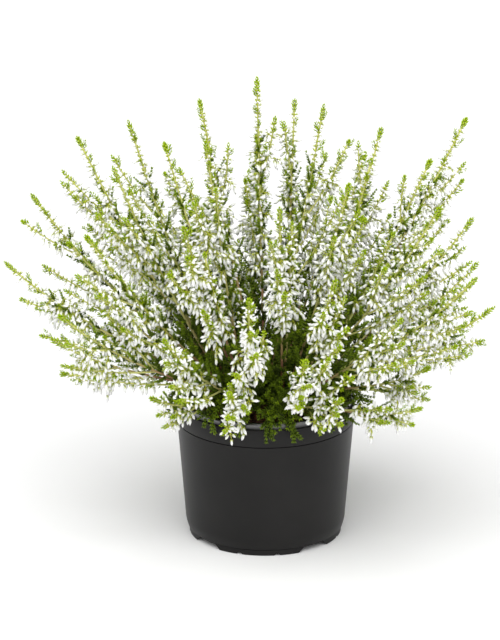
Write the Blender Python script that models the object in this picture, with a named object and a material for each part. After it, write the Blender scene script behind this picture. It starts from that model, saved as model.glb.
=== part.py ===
"""Potted heather: a nursery pot, its soil, leafy woody stems and flowering sprays.

Metres, +Z up, front towards -Y. The origin is the middle of the pot's underside, where it stands.
The bush is grown by rule: every shoot is a curve from a crown just above the soil to its own tip.
"""
import math
import random

import bmesh
import bpy
from mathutils import Matrix, Vector
from mathutils.kdtree import KDTree

SEED = 41
GAP = 0.0003
UP = Vector((0.0, 0.0, 1.0))

# Pot
POT_RIM_DIAMETER = 0.110
POT_HEIGHT = 0.0888
POT_BASE_DIAMETER = 0.0954
POT_WALL = 0.0012
POT_SEGMENTS = 30
BAND_TOP_DROP = 0.0040
BAND_HEIGHT = 0.0110
BAND_STEP = 0.0006
CORNER_HEIGHT = 0.0080
CORNER_BULGE = 0.0008
FOOT_HEIGHT = 0.0038
FOOT_SET_IN = 0.0008
FOOT_COUNT = 4
FOOT_TURN = math.radians(-95.5)
FOOT_GAP_TOP = math.radians(18.0)
FOOT_GAP_BOTTOM = math.radians(28.0)
NOTCH_ANGLE = math.radians(14.5)
NOTCH_WIDTH = 0.0032
NOTCH_HEIGHT = 0.0013
SEAT_RADIUS = 0.020
DRAIN_COUNT = 5
DRAIN_RADIUS = 0.0040
DRAIN_CIRCLE = 0.034

# Soil
SOIL_LEVEL = 0.0835
SOIL_SEGMENTS = 20
SOIL_LUMPS = 0.0008
SOIL_HOLE_DEPTH = 0.0165

# Woody stems
CUTTINGS = 7
CUTTING_CIRCLE = 0.020
CROWN_HEIGHT = 0.0085
TRUNK_RADIUS = 0.0022
STEM_RADIUS = 0.0011
STEM_SHARE = 0.40
STEM_BOW_OUT = 0.30
STEM_BOW_UP = 0.34
STEM_TAPER = (1.35, 1.25, 1.15, 1.05)
STEM_TWIST = math.radians(20.0)
UPRIGHT_SHARE = 0.24

# Flowering sprays
SPRAY_COUNT = 48
SPRAY_SPACING = math.radians(16.0)
LEAN_LIMIT = math.radians(74.0)
BUSH_REACH = 0.203
LOW_REACH_LOSS = 0.85
REACH_RANGE = (0.86, 1.0)
TIP_TRIES = 400
TIP_STRIDE = 37
SPRAY_TWIST = math.radians(40.0)
STEM_TOP_RADIUS = 0.0014
STEM_TIP_RADIUS = 0.0009
BUD_LENGTH = 0.0048
BRANCHLET_LENGTH = 0.0080
BARE_FOOT = 0.0028
WHORL_PITCH = 0.0062
BUD_SPREAD = 0.15
BUD_DROOP = 0.30
SPIKE_LENGTHS = (0.85, 1.15)
TIP_LENGTH = 0.0095
TIP_RADIUS = 0.0015
TIP_LEAF = 0.0016
TIP_BANDS = (0.35, 0.70)
SIDE_SPRAY_LENGTH = 0.052
SIDE_SPRAY_LENGTHS = (0.85, 1.1)
SIDE_SPRAY_SHARES = (0.12, 0.30)
SIDE_SPRAY_ANGLE = math.radians(26.0)
SIDE_SPRAY_EVERY = 4
SPRAY_ROOM = 0.0135
SIDE_TRIES = 12
SIDE_PULL = 0.30
SIDE_FOLLOW = 0.60
SIDE_LIFT = 0.15

# Leafy side shoots and core
TWIG_LENGTH = 0.026
TWIG_RADIUS = 0.0011
TWIG_ROOM = 0.0065
TWIG_ANGLE = math.radians(34.0)
TWIG_EVERY = 2
TWIG_SHARE = 0.62
TWIG_TWIST = math.radians(15.0)
TWIG_SECTIONS = 4
LEAF_LENGTH = 0.0026
LEAF_LEAN = 1.1
SPRIG_AZIMUTHS = tuple(math.radians(azimuth) for azimuth in (-123, -105, -87, -75, -15, 60, 140))
SPRIG_SHIFTS = tuple(math.radians(shift) for shift in (0, 5, -5, 9, -9))
SPRIG_REACH = 0.0605
SPRIG_ARCH = 0.0130
SPRIG_DROP = 0.0070
SPRIG_SECTIONS = 8
CORE_LENGTH = 0.040
CORE_RADIUS = 0.0090
CORE_LEAF = 0.0060
CORE_SIDES = 5
CORE_SHARES = (0.25, 0.8, 1.0, 0.8)
GOLDEN_ANGLE = math.pi * (3.0 - math.sqrt(5.0))

# Shoots that draw the bush's outline from the front: azimuth and lean in degrees, reach in metres.
OUTLINE_SHOOTS = (
    (120, 3, 0.206),
    (170, 12, 0.197),
    (15, 11, 0.192),
    (-120, 21, 0.201),
    (176, 25, 0.198),
    (178, 34, 0.205),
    (-150, 32, 0.199),
    (174, 48, 0.194),
    (-179, 60, 0.184),
    (-172, 70, 0.142),
    (-142, 45, 0.192),
    (-144, 60, 0.176),
    (28, 26, 0.184),
    (-8, 32, 0.190),
    (9, 35, 0.216),
    (-34, 40, 0.195),
    (6, 48, 0.172),
    (-32, 54, 0.183),
    (-4, 65, 0.155),
    (-26, 70, 0.118),
    (-38, 79, 0.122),
    (24, 64, 0.162),
)


def clear_scene():
    """Start from an empty file."""
    for item in list(bpy.data.objects):
        bpy.data.objects.remove(item, do_unlink=True)


def plain_material(name, colour, roughness):
    material = bpy.data.materials.new(name)
    material.use_nodes = True
    shader = material.node_tree.nodes["Principled BSDF"]
    shader.inputs["Base Color"].default_value = (*colour, 1.0)
    shader.inputs["Roughness"].default_value = roughness
    shader.inputs["Metallic"].default_value = 0.0
    return material


def add_object(name, bm, material=None):
    """Put a finished bmesh in the scene as one named object."""
    mesh = bpy.data.meshes.new(name)
    bm.to_mesh(mesh)
    bm.free()
    made = bpy.data.objects.new(name, mesh)
    bpy.context.scene.collection.objects.link(made)
    if material:
        mesh.materials.append(material)
    return made


def combine(target, others, operation):
    """Join others to target, or cut them from it, and drop them."""
    group = bpy.data.collections.new("group")
    bpy.context.scene.collection.children.link(group)
    for other in others:
        group.objects.link(other)
    boolean = target.modifiers.new("join", "BOOLEAN")
    boolean.operation = operation
    boolean.operand_type = "COLLECTION"
    boolean.collection = group
    boolean.solver = "EXACT"
    graph = bpy.context.evaluated_depsgraph_get()
    joined = bpy.data.meshes.new_from_object(target.evaluated_get(graph))
    target.modifiers.remove(boolean)
    target.data = joined
    keep_largest_shell(joined)
    for other in others:
        bpy.data.objects.remove(other, do_unlink=True)
    bpy.data.collections.remove(group)


def shells(bm):
    """The separate closed skins of a mesh, as lists of faces."""
    left = set(bm.faces)
    found = []
    while left:
        first = left.pop()
        skin = [first]
        for face in skin:
            for edge in face.edges:
                for other in edge.link_faces:
                    if other in left:
                        left.remove(other)
                        skin.append(other)
        found.append(skin)
    return found


def skin_volume(faces):
    """Volume inside a skin, negative for a hollow."""
    volume = 0.0
    for face in faces:
        first, *rest = [corner.co for corner in face.verts]
        for second, third in zip(rest, rest[1:]):
            volume += first.dot(second.cross(third)) / 6
    return volume


def keep_largest_shell(mesh):
    """Fill hollows that joining has sealed and drop loose scraps."""
    bm = bmesh.new()
    bm.from_mesh(mesh)
    found = sorted(shells(bm), key=skin_volume)
    for skin in found[:-1]:
        bmesh.ops.delete(bm, geom=skin, context="FACES")
    bm.to_mesh(mesh)
    bm.free()


# Turned pieces: the pot and the soil

def turned(profile, segments):
    """Spin an outline of radius and height pairs, which starts and ends on the axis."""
    bm = bmesh.new()
    points = [bm.verts.new((radius, 0.0, height)) for radius, height in profile]
    edges = [bm.edges.new(pair) for pair in zip(points, points[1:])]
    bmesh.ops.spin(
        bm, geom=points + edges, cent=(0.0, 0.0, 0.0), axis=UP, angle=math.tau,
        steps=segments, use_merge=True,
    )
    bmesh.ops.remove_doubles(bm, verts=bm.verts, dist=0.00001)
    bmesh.ops.recalc_face_normals(bm, faces=bm.faces)
    return bm


def wall_radius(height):
    """Outer radius of the pot's tapered wall, from the corner to the step under the band."""
    base = POT_BASE_DIAMETER / 2 + 2 * CORNER_BULGE
    top = POT_RIM_DIAMETER / 2 - BAND_STEP
    bottom_height = FOOT_HEIGHT + CORNER_HEIGHT
    top_height = POT_HEIGHT - BAND_TOP_DROP - BAND_HEIGHT
    share = (height - bottom_height) / (top_height - bottom_height)
    return base + (top - base) * share


def pot_profile():
    """Outline of the pot: underside and outside up to the rim, then the inside down to the floor."""
    rim = POT_RIM_DIAMETER / 2
    base = POT_BASE_DIAMETER / 2
    corner = FOOT_HEIGHT + CORNER_HEIGHT
    step = POT_HEIGHT - BAND_TOP_DROP - BAND_HEIGHT
    band_top = POT_HEIGHT - BAND_TOP_DROP
    foot_outer = base - FOOT_SET_IN
    floor_top = FOOT_HEIGHT + POT_WALL
    return (
        (0.0, 0.0),
        (SEAT_RADIUS, 0.0),
        (SEAT_RADIUS + POT_WALL, FOOT_HEIGHT),
        (foot_outer - POT_WALL, FOOT_HEIGHT),
        (foot_outer - POT_WALL, 0.0),
        (foot_outer, 0.0),
        (foot_outer, FOOT_HEIGHT),
        (base, FOOT_HEIGHT + GAP),
        (base + CORNER_BULGE * 1.5, FOOT_HEIGHT + CORNER_HEIGHT * 0.4),
        (wall_radius(corner), corner),
        (wall_radius(step), step),
        (rim, step + BAND_STEP),
        (rim, band_top),
        (rim - POT_WALL, POT_HEIGHT - BAND_TOP_DROP * 0.4),
        (rim - POT_WALL * 1.6, POT_HEIGHT),
        (rim - POT_WALL * 2.6, POT_HEIGHT),
        (inner_radius(band_top), band_top - POT_WALL),
        (inner_radius(corner), corner),
        (base - POT_WALL, floor_top),
        (SEAT_RADIUS + POT_WALL, floor_top),
        (SEAT_RADIUS - POT_WALL, POT_WALL),
        (0.0, POT_WALL),
    )


def inner_radius(height):
    """Radius of the pot's inside: one straight taper from the band down to the corner."""
    corner = FOOT_HEIGHT + CORNER_HEIGHT
    band_top = POT_HEIGHT - BAND_TOP_DROP - POT_WALL
    top = POT_RIM_DIAMETER / 2 - BAND_STEP - POT_WALL
    bottom = POT_BASE_DIAMETER / 2 + 2 * CORNER_BULGE - POT_WALL
    return bottom + (top - bottom) * min(1.0, (height - corner) / (band_top - corner))


def wedge_cutter(angle, radius, width_bottom, width_top, height, depth):
    """A block across the foot ring, narrower at its top, that cuts a gap up from the ground."""
    bm = bmesh.new()
    bmesh.ops.create_cube(bm, size=1.0)
    for corner in bm.verts:
        top = corner.co.z > 0
        width = width_top if top else width_bottom
        corner.co = Vector((
            radius + depth * corner.co.x,
            width * corner.co.y,
            height if top else -height,
        ))
    bmesh.ops.rotate(bm, verts=bm.verts, cent=(0.0, 0.0, 0.0), matrix=Matrix.Rotation(angle, 3, "Z"))
    return add_object("cutter", bm)


def foot_cutters():
    """The gaps between the feet and the small notches in each foot."""
    ring = POT_BASE_DIAMETER / 2 - FOOT_SET_IN - POT_WALL / 2
    gap_slope = ring * (FOOT_GAP_BOTTOM - FOOT_GAP_TOP)
    pitch = math.tau / FOOT_COUNT
    cutters = []
    for number in range(FOOT_COUNT):
        middle = FOOT_TURN + number * pitch
        cutters.append(wedge_cutter(
            middle + pitch / 2, ring, ring * FOOT_GAP_TOP + 2 * gap_slope, ring * FOOT_GAP_TOP,
            FOOT_HEIGHT - GAP, 4 * POT_WALL,
        ))
        for side in (-1, 1):
            cutters.append(wedge_cutter(
                middle + side * NOTCH_ANGLE, ring, 2 * NOTCH_WIDTH, NOTCH_WIDTH / 2,
                NOTCH_HEIGHT, 4 * POT_WALL,
            ))
    return cutters


def drain_cutters():
    """The drainage holes in the raised ring of the floor."""
    cutters = []
    for number in range(DRAIN_COUNT):
        angle = (number + 0.5) * math.tau / DRAIN_COUNT
        bm = bmesh.new()
        bmesh.ops.create_cone(
            bm, cap_ends=True, segments=6, radius1=DRAIN_RADIUS, radius2=DRAIN_RADIUS, depth=0.01,
        )
        place = (DRAIN_CIRCLE * math.cos(angle), DRAIN_CIRCLE * math.sin(angle), FOOT_HEIGHT)
        bmesh.ops.translate(bm, verts=bm.verts, vec=place)
        cutters.append(add_object("cutter", bm))
    return cutters


def make_pot():
    black = plain_material("black_plastic", (0.028, 0.027, 0.026), 0.5)
    pot = add_object("pot", turned(pot_profile(), POT_SEGMENTS), black)
    combine(pot, foot_cutters() + drain_cutters(), "DIFFERENCE")
    pot.data.shade_smooth()
    pot.data.set_sharp_from_angle(angle=math.radians(30.0))
    return pot


def cutting_places():
    """Where each rooted cutting stands: one in the middle and a ring round it."""
    places = [Vector((0.0, 0.0, 0.0))]
    for number in range(CUTTINGS - 1):
        angle = number * math.tau / (CUTTINGS - 1)
        places.append(Vector((math.cos(angle), math.sin(angle), 0.0)) * CUTTING_CIRCLE)
    return places


def make_soil():
    floor = FOOT_HEIGHT + POT_WALL + GAP
    corner = FOOT_HEIGHT + CORNER_HEIGHT
    facet = math.cos(math.pi / POT_SEGMENTS)
    profile = (
        (0.0, POT_WALL + GAP),
        (SEAT_RADIUS - 2 * POT_WALL, POT_WALL + GAP),
        (SEAT_RADIUS, floor),
        (POT_BASE_DIAMETER / 2 - POT_WALL * 2, floor),
        (inner_radius(corner) * facet - GAP, corner),
        (inner_radius(SOIL_LEVEL) * facet - GAP, SOIL_LEVEL - 2 * SOIL_LUMPS),
        (CUTTING_CIRCLE * 2, SOIL_LEVEL),
        (CUTTING_CIRCLE * 1.4, SOIL_LEVEL),
        (0.0, SOIL_LEVEL),
    )
    bm = turned(profile, SOIL_SEGMENTS)
    lumps = random.Random(SEED)
    for point in bm.verts:
        if point.co.z > SOIL_LEVEL - SOIL_LUMPS:
            point.co.z += SOIL_LUMPS * lumps.uniform(-1.0, 1.0)
    brown = plain_material("potting_soil", (0.12, 0.05, 0.025), 0.95)
    soil = add_object("soil", bm, brown)
    holes = []
    for place in cutting_places():
        bm = bmesh.new()
        bmesh.ops.create_cone(
            bm, cap_ends=True, segments=6, radius1=TRUNK_RADIUS + 2 * GAP,
            radius2=TRUNK_RADIUS + 2 * GAP, depth=2 * SOIL_HOLE_DEPTH,
        )
        bmesh.ops.translate(bm, verts=bm.verts, vec=place + UP * SOIL_LEVEL)
        holes.append(add_object("cutter", bm))
    combine(soil, holes, "DIFFERENCE")
    return soil


# Curves and tubes

def curve(start, start_pull, end_pull, end, count=33):
    """Points on a cubic curve."""
    points = []
    for step in range(count):
        t = step / (count - 1)
        u = 1.0 - t
        points.append(
            start * u ** 3 + start_pull * (3 * u * u * t)
            + end_pull * (3 * u * t * t) + end * t ** 3
        )
    return points


def at_distance(points, distance):
    """The point and the direction at a distance along a line of points."""
    for first, second in zip(points, points[1:]):
        span = second - first
        if distance <= span.length:
            return first + span * (distance / span.length), span.normalized()
        distance -= span.length
    direction = (points[-1] - points[-2]).normalized()
    return points[-1] + direction * distance, direction


def line_length(points):
    return sum((second - first).length for first, second in zip(points, points[1:]))


def frames_along(points, stations):
    """A frame at each station whose Z runs along the line and which does not spin about it."""
    frames = []
    side = None
    for station in stations:
        place, ahead = at_distance(points, station)
        if side is None:
            side = ahead.orthogonal()
        side = (side - ahead * side.dot(ahead)).normalized()
        axes = Matrix((side, ahead.cross(side), ahead)).transposed().to_4x4()
        frames.append(Matrix.Translation(place) @ axes)
    return frames


def tube(points, stations, radii, sides, twist=0.0):
    """A closed tube through the stations. Gives its bmesh and each section's side faces."""
    frames = frames_along(points, stations)
    turns = [Matrix.Rotation(twist * number, 4, "Z") for number in range(len(stations))]
    bm = bmesh.new()
    bmesh.ops.create_cone(
        bm, cap_ends=True, segments=sides, radius1=radii[0], radius2=radii[1], depth=2.0,
    )
    low = [point for point in bm.verts if point.co.z < 0]
    high = [point for point in bm.verts if point.co.z > 0]
    bmesh.ops.transform(bm, matrix=frames[0] @ Matrix.Translation(UP), verts=low)
    bmesh.ops.transform(bm, matrix=frames[1] @ turns[1] @ Matrix.Translation(-UP), verts=high)
    end = next(face for face in bm.faces if all(point in high for point in face.verts))
    sections = [side_faces(end)]
    for number in range(1, len(stations) - 1):
        end = bmesh.ops.extrude_discrete_faces(bm, faces=[end])["faces"][0]
        scale = Matrix.Diagonal((radii[number + 1] / radii[number],) * 2 + (1.0, 1.0))
        there = frames[number + 1] @ turns[number + 1] @ scale
        back = (frames[number] @ turns[number]).inverted()
        bmesh.ops.transform(bm, matrix=there @ back, verts=end.verts[:])
        sections.append(side_faces(end))
    return bm, sections, end


def side_faces(end):
    return [face for edge in end.edges for face in edge.link_faces if face is not end]


def raise_spikes(bm, faces, axis_point, ahead, direction_rule, length, draw):
    """Raise each face to a point: a bud or a leaf that grows from the tube's own skin."""
    for face in faces:
        middle = face.calc_center_median()
        away = middle - axis_point
        outward = (away - ahead * away.dot(ahead)).normalized()
        direction = direction_rule(outward, ahead, draw).normalized()
        centre = bmesh.ops.poke(bm, faces=[face])["verts"][0]
        centre.co = middle + direction * length * draw.uniform(*SPIKE_LENGTHS)


def bud_direction(outward, ahead, draw):
    """Buds stand out from the shoot, fan apart in each whorl and hang a little."""
    fan = draw.uniform(-BUD_SPREAD, BUD_SPREAD)
    sideways = ahead.cross(outward) * draw.uniform(-BUD_SPREAD, BUD_SPREAD) / 2
    return outward + ahead * fan + sideways - UP * BUD_DROOP


def leaf_direction(outward, ahead, _draw):
    """Scale leaves lean forward along their shoot."""
    return outward + ahead * LEAF_LEAN


# Plan of the bush

def direction_from(azimuth, lean):
    return Vector((
        math.sin(lean) * math.cos(azimuth),
        math.sin(lean) * math.sin(azimuth),
        math.cos(lean),
    ))


def dome_reach(lean):
    """How far shoots of a given lean reach: nearly level ones are shorter."""
    return BUSH_REACH * (1.0 - LOW_REACH_LOSS * (lean / math.radians(90.0)) ** 3)


def shoot_tips():
    """Tip positions: the outline's shoots first, then the rest spread evenly between them."""
    centre = UP * SOIL_LEVEL
    chosen = []
    for azimuth, lean, reach in OUTLINE_SHOOTS:
        chosen.append((direction_from(math.radians(azimuth), math.radians(lean)), reach))
    draw = random.Random(SEED)
    for number in range(TIP_TRIES):
        if len(chosen) == SPRAY_COUNT:
            break
        share = ((number * TIP_STRIDE) % TIP_TRIES + 0.5) / TIP_TRIES
        height = 1.0 - (1.0 - math.cos(LEAN_LIMIT)) * share
        lean = math.acos(height)
        heading = direction_from(number * GOLDEN_ANGLE, lean)
        if all(heading.angle(other) > SPRAY_SPACING for other, _ in chosen):
            chosen.append((heading, dome_reach(lean) * draw.uniform(*REACH_RANGE)))
    return [centre + heading * reach for heading, reach in chosen]


def make_shoots():
    """Each shoot's curve and the number of the cutting that it grows from."""
    places = cutting_places()
    shoots = []
    for tip in shoot_tips():
        flat = Vector((tip.x, tip.y, 0.0))
        upright = flat.length < UPRIGHT_SHARE * (tip.z - SOIL_LEVEL)
        cutting = 0 if upright else 1 + nearest(flat.normalized(), places[1:])
        crown = places[cutting] + UP * (SOIL_LEVEL + CROWN_HEIGHT - TRUNK_RADIUS)
        chord = tip - crown
        heading = chord.normalized()
        outward = flat.normalized() * flat.length / chord.length
        pull = chord.length / 3
        leave = (heading + outward * STEM_BOW_OUT).normalized()
        arrive = (heading + UP * STEM_BOW_UP * outward.length).normalized()
        shoots.append((cutting, curve(crown, crown + leave * pull, tip - arrive * pull, tip)))
    return shoots


def nearest(direction, places):
    return max(range(len(places)), key=lambda number: places[number].dot(direction))


def cutting_towards(azimuth):
    """Number of the cutting that stands on this side of the pot."""
    return 1 + nearest(direction_from(azimuth, math.radians(90.0)), cutting_places()[1:])


# Sprays and stems

def part_of(points, start, end, count=17):
    """The stretch of a line between two distances."""
    step = (end - start) / (count - 1)
    return [at_distance(points, start + step * number)[0] for number in range(count)]


def flowering_tube(points, start_radius, draw):
    """A flowering shoot: its slim stem, whorls of buds and the growing tip."""
    length = line_length(points)
    budded = length - TIP_LENGTH
    whorls = max(2, round((budded - BARE_FOOT) / WHORL_PITCH))
    pitch = (budded - BARE_FOOT) / whorls
    stations = [BARE_FOOT + pitch * number for number in range(whorls + 1)]
    stations = [0.0] + stations + [budded + TIP_LENGTH * band for band in TIP_BANDS]
    kinds = ["bare"] + ["buds"] * whorls + ["leaves", "leaves"]
    radii = []
    for station in stations[:-2]:
        radii.append(start_radius + (STEM_TIP_RADIUS - start_radius) * station / budded)
    radii += [TIP_RADIUS, TIP_RADIUS * 0.9]
    bm, sections, end = tube(points, stations, radii, 3, twist=SPRAY_TWIST)
    point_end(bm, end, points, stations[-1], TIP_LENGTH * (1.0 - TIP_BANDS[-1]))
    for kind, faces, first, second in zip(kinds, sections, stations, stations[1:]):
        place, ahead = at_distance(points, (first + second) / 2)
        if kind == "buds":
            reach = BRANCHLET_LENGTH + (BUD_LENGTH - BRANCHLET_LENGTH) * (first / budded)
            raise_spikes(bm, faces, place, ahead, bud_direction, reach, draw)
        if kind == "leaves":
            raise_spikes(bm, faces, place, ahead, leaf_direction, TIP_LEAF, draw)
    bmesh.ops.triangulate(bm, faces=bm.faces)
    return bm


def point_end(bm, end, points, station, length):
    """Close a tube's end in a point."""
    place, ahead = at_distance(points, station)
    centre = bmesh.ops.poke(bm, faces=[end])["verts"][0]
    centre.co = place + ahead * length


def leafy_tube(points, radii, sides, leaf, draw):
    """A stem whose skin is raised in leaves that lean forward, with a pointed end."""
    length = line_length(points)
    sections = len(radii)
    stations = [length * number / sections for number in range(sections)]
    bm, bands, end = tube(points, stations, radii, sides, twist=TWIG_TWIST)
    point_end(bm, end, points, stations[-1], length / sections)
    for faces, first, second in zip(bands[1:], stations[1:], stations[2:]):
        place, ahead = at_distance(points, (first + second) / 2)
        raise_spikes(bm, faces, place, ahead, leaf_direction, leaf, draw)
    bmesh.ops.triangulate(bm, faces=bm.faces)
    return bm


def clearance(points, others):
    """Smallest distance between a line's points and other lines' points."""
    tree = KDTree(sum(len(line) for line in others))
    for line in others:
        for point in line:
            tree.insert(point, 0)
    tree.balance()
    return min(tree.find(point)[2] for point in points)


def side_shoot(parent, share, turn, diverge, length):
    """A short curve that leaves its parent shoot and bends up alongside it."""
    start, ahead = at_distance(parent, line_length(parent) * share)
    side = (Matrix.Rotation(turn, 3, ahead) @ ahead.orthogonal()).normalized()
    leave = (ahead * math.cos(diverge) + side * math.sin(diverge)).normalized()
    arrive = (leave + ahead * SIDE_FOLLOW + UP * SIDE_LIFT).normalized()
    knee = start + leave * length * 0.5
    end = knee + arrive * length * 0.5
    return curve(start, start + leave * length * SIDE_PULL, knee, end, 13)


def add_side_shoot(parent, others, share, diverge, length, room, draw):
    """Try turns round the parent until the side shoot stands clear of every other shoot."""
    first_turn = draw.uniform(0.0, math.tau)
    for number in range(SIDE_TRIES):
        made = side_shoot(parent, share, first_turn + number * GOLDEN_ANGLE, diverge, length)
        low = min(point.z for point in made)
        if low > SOIL_LEVEL + CROWN_HEIGHT + room / 2 and clearance(made[2:], others) > room:
            return made
    return None


def plan_side_sprays(sprays):
    """The side sprays, each with the number of the spray that it forks from."""
    draw = random.Random(SEED + 1)
    taken = list(sprays)
    forks = {}
    for number, points in enumerate(sprays, start=1):
        if number % SIDE_SPRAY_EVERY:
            continue
        others = [line for line in taken if line is not points]
        length = SIDE_SPRAY_LENGTH * draw.uniform(*SIDE_SPRAY_LENGTHS)
        share = draw.uniform(*SIDE_SPRAY_SHARES)
        side = add_side_shoot(points, others, share, SIDE_SPRAY_ANGLE, length, SPRAY_ROOM, draw)
        if side:
            taken.append(side)
            forks[number] = side
    return forks, taken


def rim_sprig(azimuth, crown):
    """A leafy sprig that arches from its crown over the pot's rim and hangs down outside."""
    outward = direction_from(azimuth, math.radians(90.0))
    over = outward * SPRIG_REACH + UP * (POT_HEIGHT + SPRIG_ARCH)
    end = outward * SPRIG_REACH + UP * (POT_HEIGHT - SPRIG_DROP)
    rise = crown.lerp(over, 0.5) + UP * SPRIG_ARCH / 2
    return curve(crown, rise, over, end, 17)


def plan_sprigs(cutting, crown, others):
    """The sprigs that this cutting hangs over the rim, each turned until it hangs clear."""
    lines = []
    for azimuth in SPRIG_AZIMUTHS:
        if cutting_towards(azimuth) != cutting:
            continue
        for shift in SPRIG_SHIFTS:
            line = rim_sprig(azimuth + shift, crown - UP * TRUNK_RADIUS)
            if clearance(line[6:], others) > TWIG_ROOM:
                lines.append(line)
                break
    return lines


def plan_leafy_shoots(stems, taken):
    """The rim sprigs and leafy twigs of every cutting, each clear of the lines before it."""
    grown = []
    for cutting, place in enumerate(cutting_places()):
        draw = random.Random(SEED + 10 + cutting)
        crown = place + UP * (SOIL_LEVEL + CROWN_HEIGHT)
        own = [stem for number, stem in stems if number == cutting]
        others = [line for line in taken if all(line is not stem for stem in own)]
        sprigs = plan_sprigs(cutting, crown, others)
        taken.extend(sprigs)
        twigs = []
        for stem in own[::TWIG_EVERY]:
            near = [line for line in taken if line is not stem]
            twig = add_side_shoot(stem, near, TWIG_SHARE, TWIG_ANGLE, TWIG_LENGTH, TWIG_ROOM, draw)
            if twig:
                taken.append(twig)
                twigs.append(twig)
        grown.append((sprigs, twigs))
    return grown


def make_sprays(sprays, forks, material):
    """One node for each flowering shoot. Some of them fork into a side spray."""
    draw = random.Random(SEED + 2)
    for number, points in enumerate(sprays, start=1):
        spray_mesh = flowering_tube(points, STEM_TOP_RADIUS, draw)
        spray = add_object(f"spray_{number:02d}", spray_mesh, material)
        if number in forks:
            side_mesh = flowering_tube(forks[number], STEM_TIP_RADIUS, draw)
            combine(spray, [add_object("side", side_mesh)], "UNION")


def make_leafy_stems(number, place, stems, sprigs, twigs, material):
    """One rooted cutting: its trunk, leafy core, stems up to the sprays, and leafy side shoots."""
    draw = random.Random(SEED + 30 + number)
    crown = place + UP * (SOIL_LEVEL + CROWN_HEIGHT)
    root = place + UP * (SOIL_LEVEL - SOIL_HOLE_DEPTH + GAP)
    bm, _, _ = tube([root, crown], [0.0, (crown - root).length], [TRUNK_RADIUS, TRUNK_RADIUS], 6)
    trunk = add_object(f"leafy_stems_{number}", bm, material)
    heading = Vector((0.0, 0.0, 0.0))
    pieces = []
    for stem in stems:
        heading += stem[-1] - stem[0]
        radii = [STEM_RADIUS * share for share in STEM_TAPER]
        stations = [line_length(stem) * step / 3 for step in range(4)]
        bm, _, _ = tube(stem, stations, radii, 3, twist=STEM_TWIST)
        bmesh.ops.triangulate(bm, faces=bm.faces)
        pieces.append(add_object("stem", bm))
    for lines, sections in ((sprigs, SPRIG_SECTIONS), (twigs, TWIG_SECTIONS)):
        for line in lines:
            leafy = leafy_tube(line, [TWIG_RADIUS] * sections, 3, LEAF_LENGTH, draw)
            pieces.append(add_object("twig", leafy))
    heading.normalize()
    core = [crown - heading * TRUNK_RADIUS, crown + heading * CORE_LENGTH]
    radii = [CORE_RADIUS * share for share in CORE_SHARES]
    pieces.append(add_object("core", leafy_tube(core, radii, CORE_SIDES, CORE_LEAF, draw)))
    combine(trunk, pieces, "UNION")


def main():
    clear_scene()
    make_pot()
    make_soil()
    white = plain_material("white_buds", (0.85, 0.87, 0.78), 0.6)
    green = plain_material("green_stems", (0.10, 0.17, 0.03), 0.7)
    sprays = []
    stems = []
    for cutting, points in make_shoots():
        length = line_length(points)
        sprays.append(part_of(points, length * STEM_SHARE, length))
        stems.append((cutting, part_of(points, 0.0, length * STEM_SHARE - GAP, 9)))
    forks, taken = plan_side_sprays(sprays)
    make_sprays(sprays, forks, white)
    taken += [stem for _, stem in stems]
    leafy = plan_leafy_shoots(stems, taken)
    for cutting, place in enumerate(cutting_places()):
        own = [stem for number, stem in stems if number == cutting]
        sprigs, twigs = leafy[cutting]
        make_leafy_stems(cutting + 1, place, own, sprigs, twigs, green)


main()
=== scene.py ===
"""Potted heather: fine shapes and finishes for the pot, its soil and the flowering plant.

Metres, +Z up, front towards -Y. Every shoot follows the same rule as the solid model, and each
flower, leaf and growing tip is a small mesh that is placed along its shoot.
"""
import math
import random

import bmesh
import bpy
from bpy.props import FloatProperty, FloatVectorProperty, IntProperty, PointerProperty
from mathutils import Matrix, Vector, noise
from mathutils.kdtree import KDTree


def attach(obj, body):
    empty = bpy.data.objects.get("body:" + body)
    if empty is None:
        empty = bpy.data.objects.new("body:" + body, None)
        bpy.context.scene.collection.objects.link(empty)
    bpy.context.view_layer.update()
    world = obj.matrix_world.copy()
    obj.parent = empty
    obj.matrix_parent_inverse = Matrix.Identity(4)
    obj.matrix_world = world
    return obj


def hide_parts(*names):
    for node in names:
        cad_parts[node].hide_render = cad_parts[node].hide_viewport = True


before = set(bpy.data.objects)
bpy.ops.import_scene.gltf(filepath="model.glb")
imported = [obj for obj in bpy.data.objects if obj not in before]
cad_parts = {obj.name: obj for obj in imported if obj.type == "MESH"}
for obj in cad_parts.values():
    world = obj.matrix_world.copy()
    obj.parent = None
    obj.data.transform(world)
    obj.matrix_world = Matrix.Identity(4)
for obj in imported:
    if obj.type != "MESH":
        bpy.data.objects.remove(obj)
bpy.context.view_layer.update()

bl_info = {
    "name": "Potted heather",
    "version": (1, 0, 0),
    "blender": (4, 5, 0),
    "location": "3D View > Sidebar > Heather",
    "description": "Builds a potted heather in white bud, piece by piece",
    "category": "Object",
}

BODY = "root"
UP = Vector((0.0, 0.0, 1.0))
LEVEL = math.radians(90.0)
GOLDEN_ANGLE = math.pi * (3.0 - math.sqrt(5.0))

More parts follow.
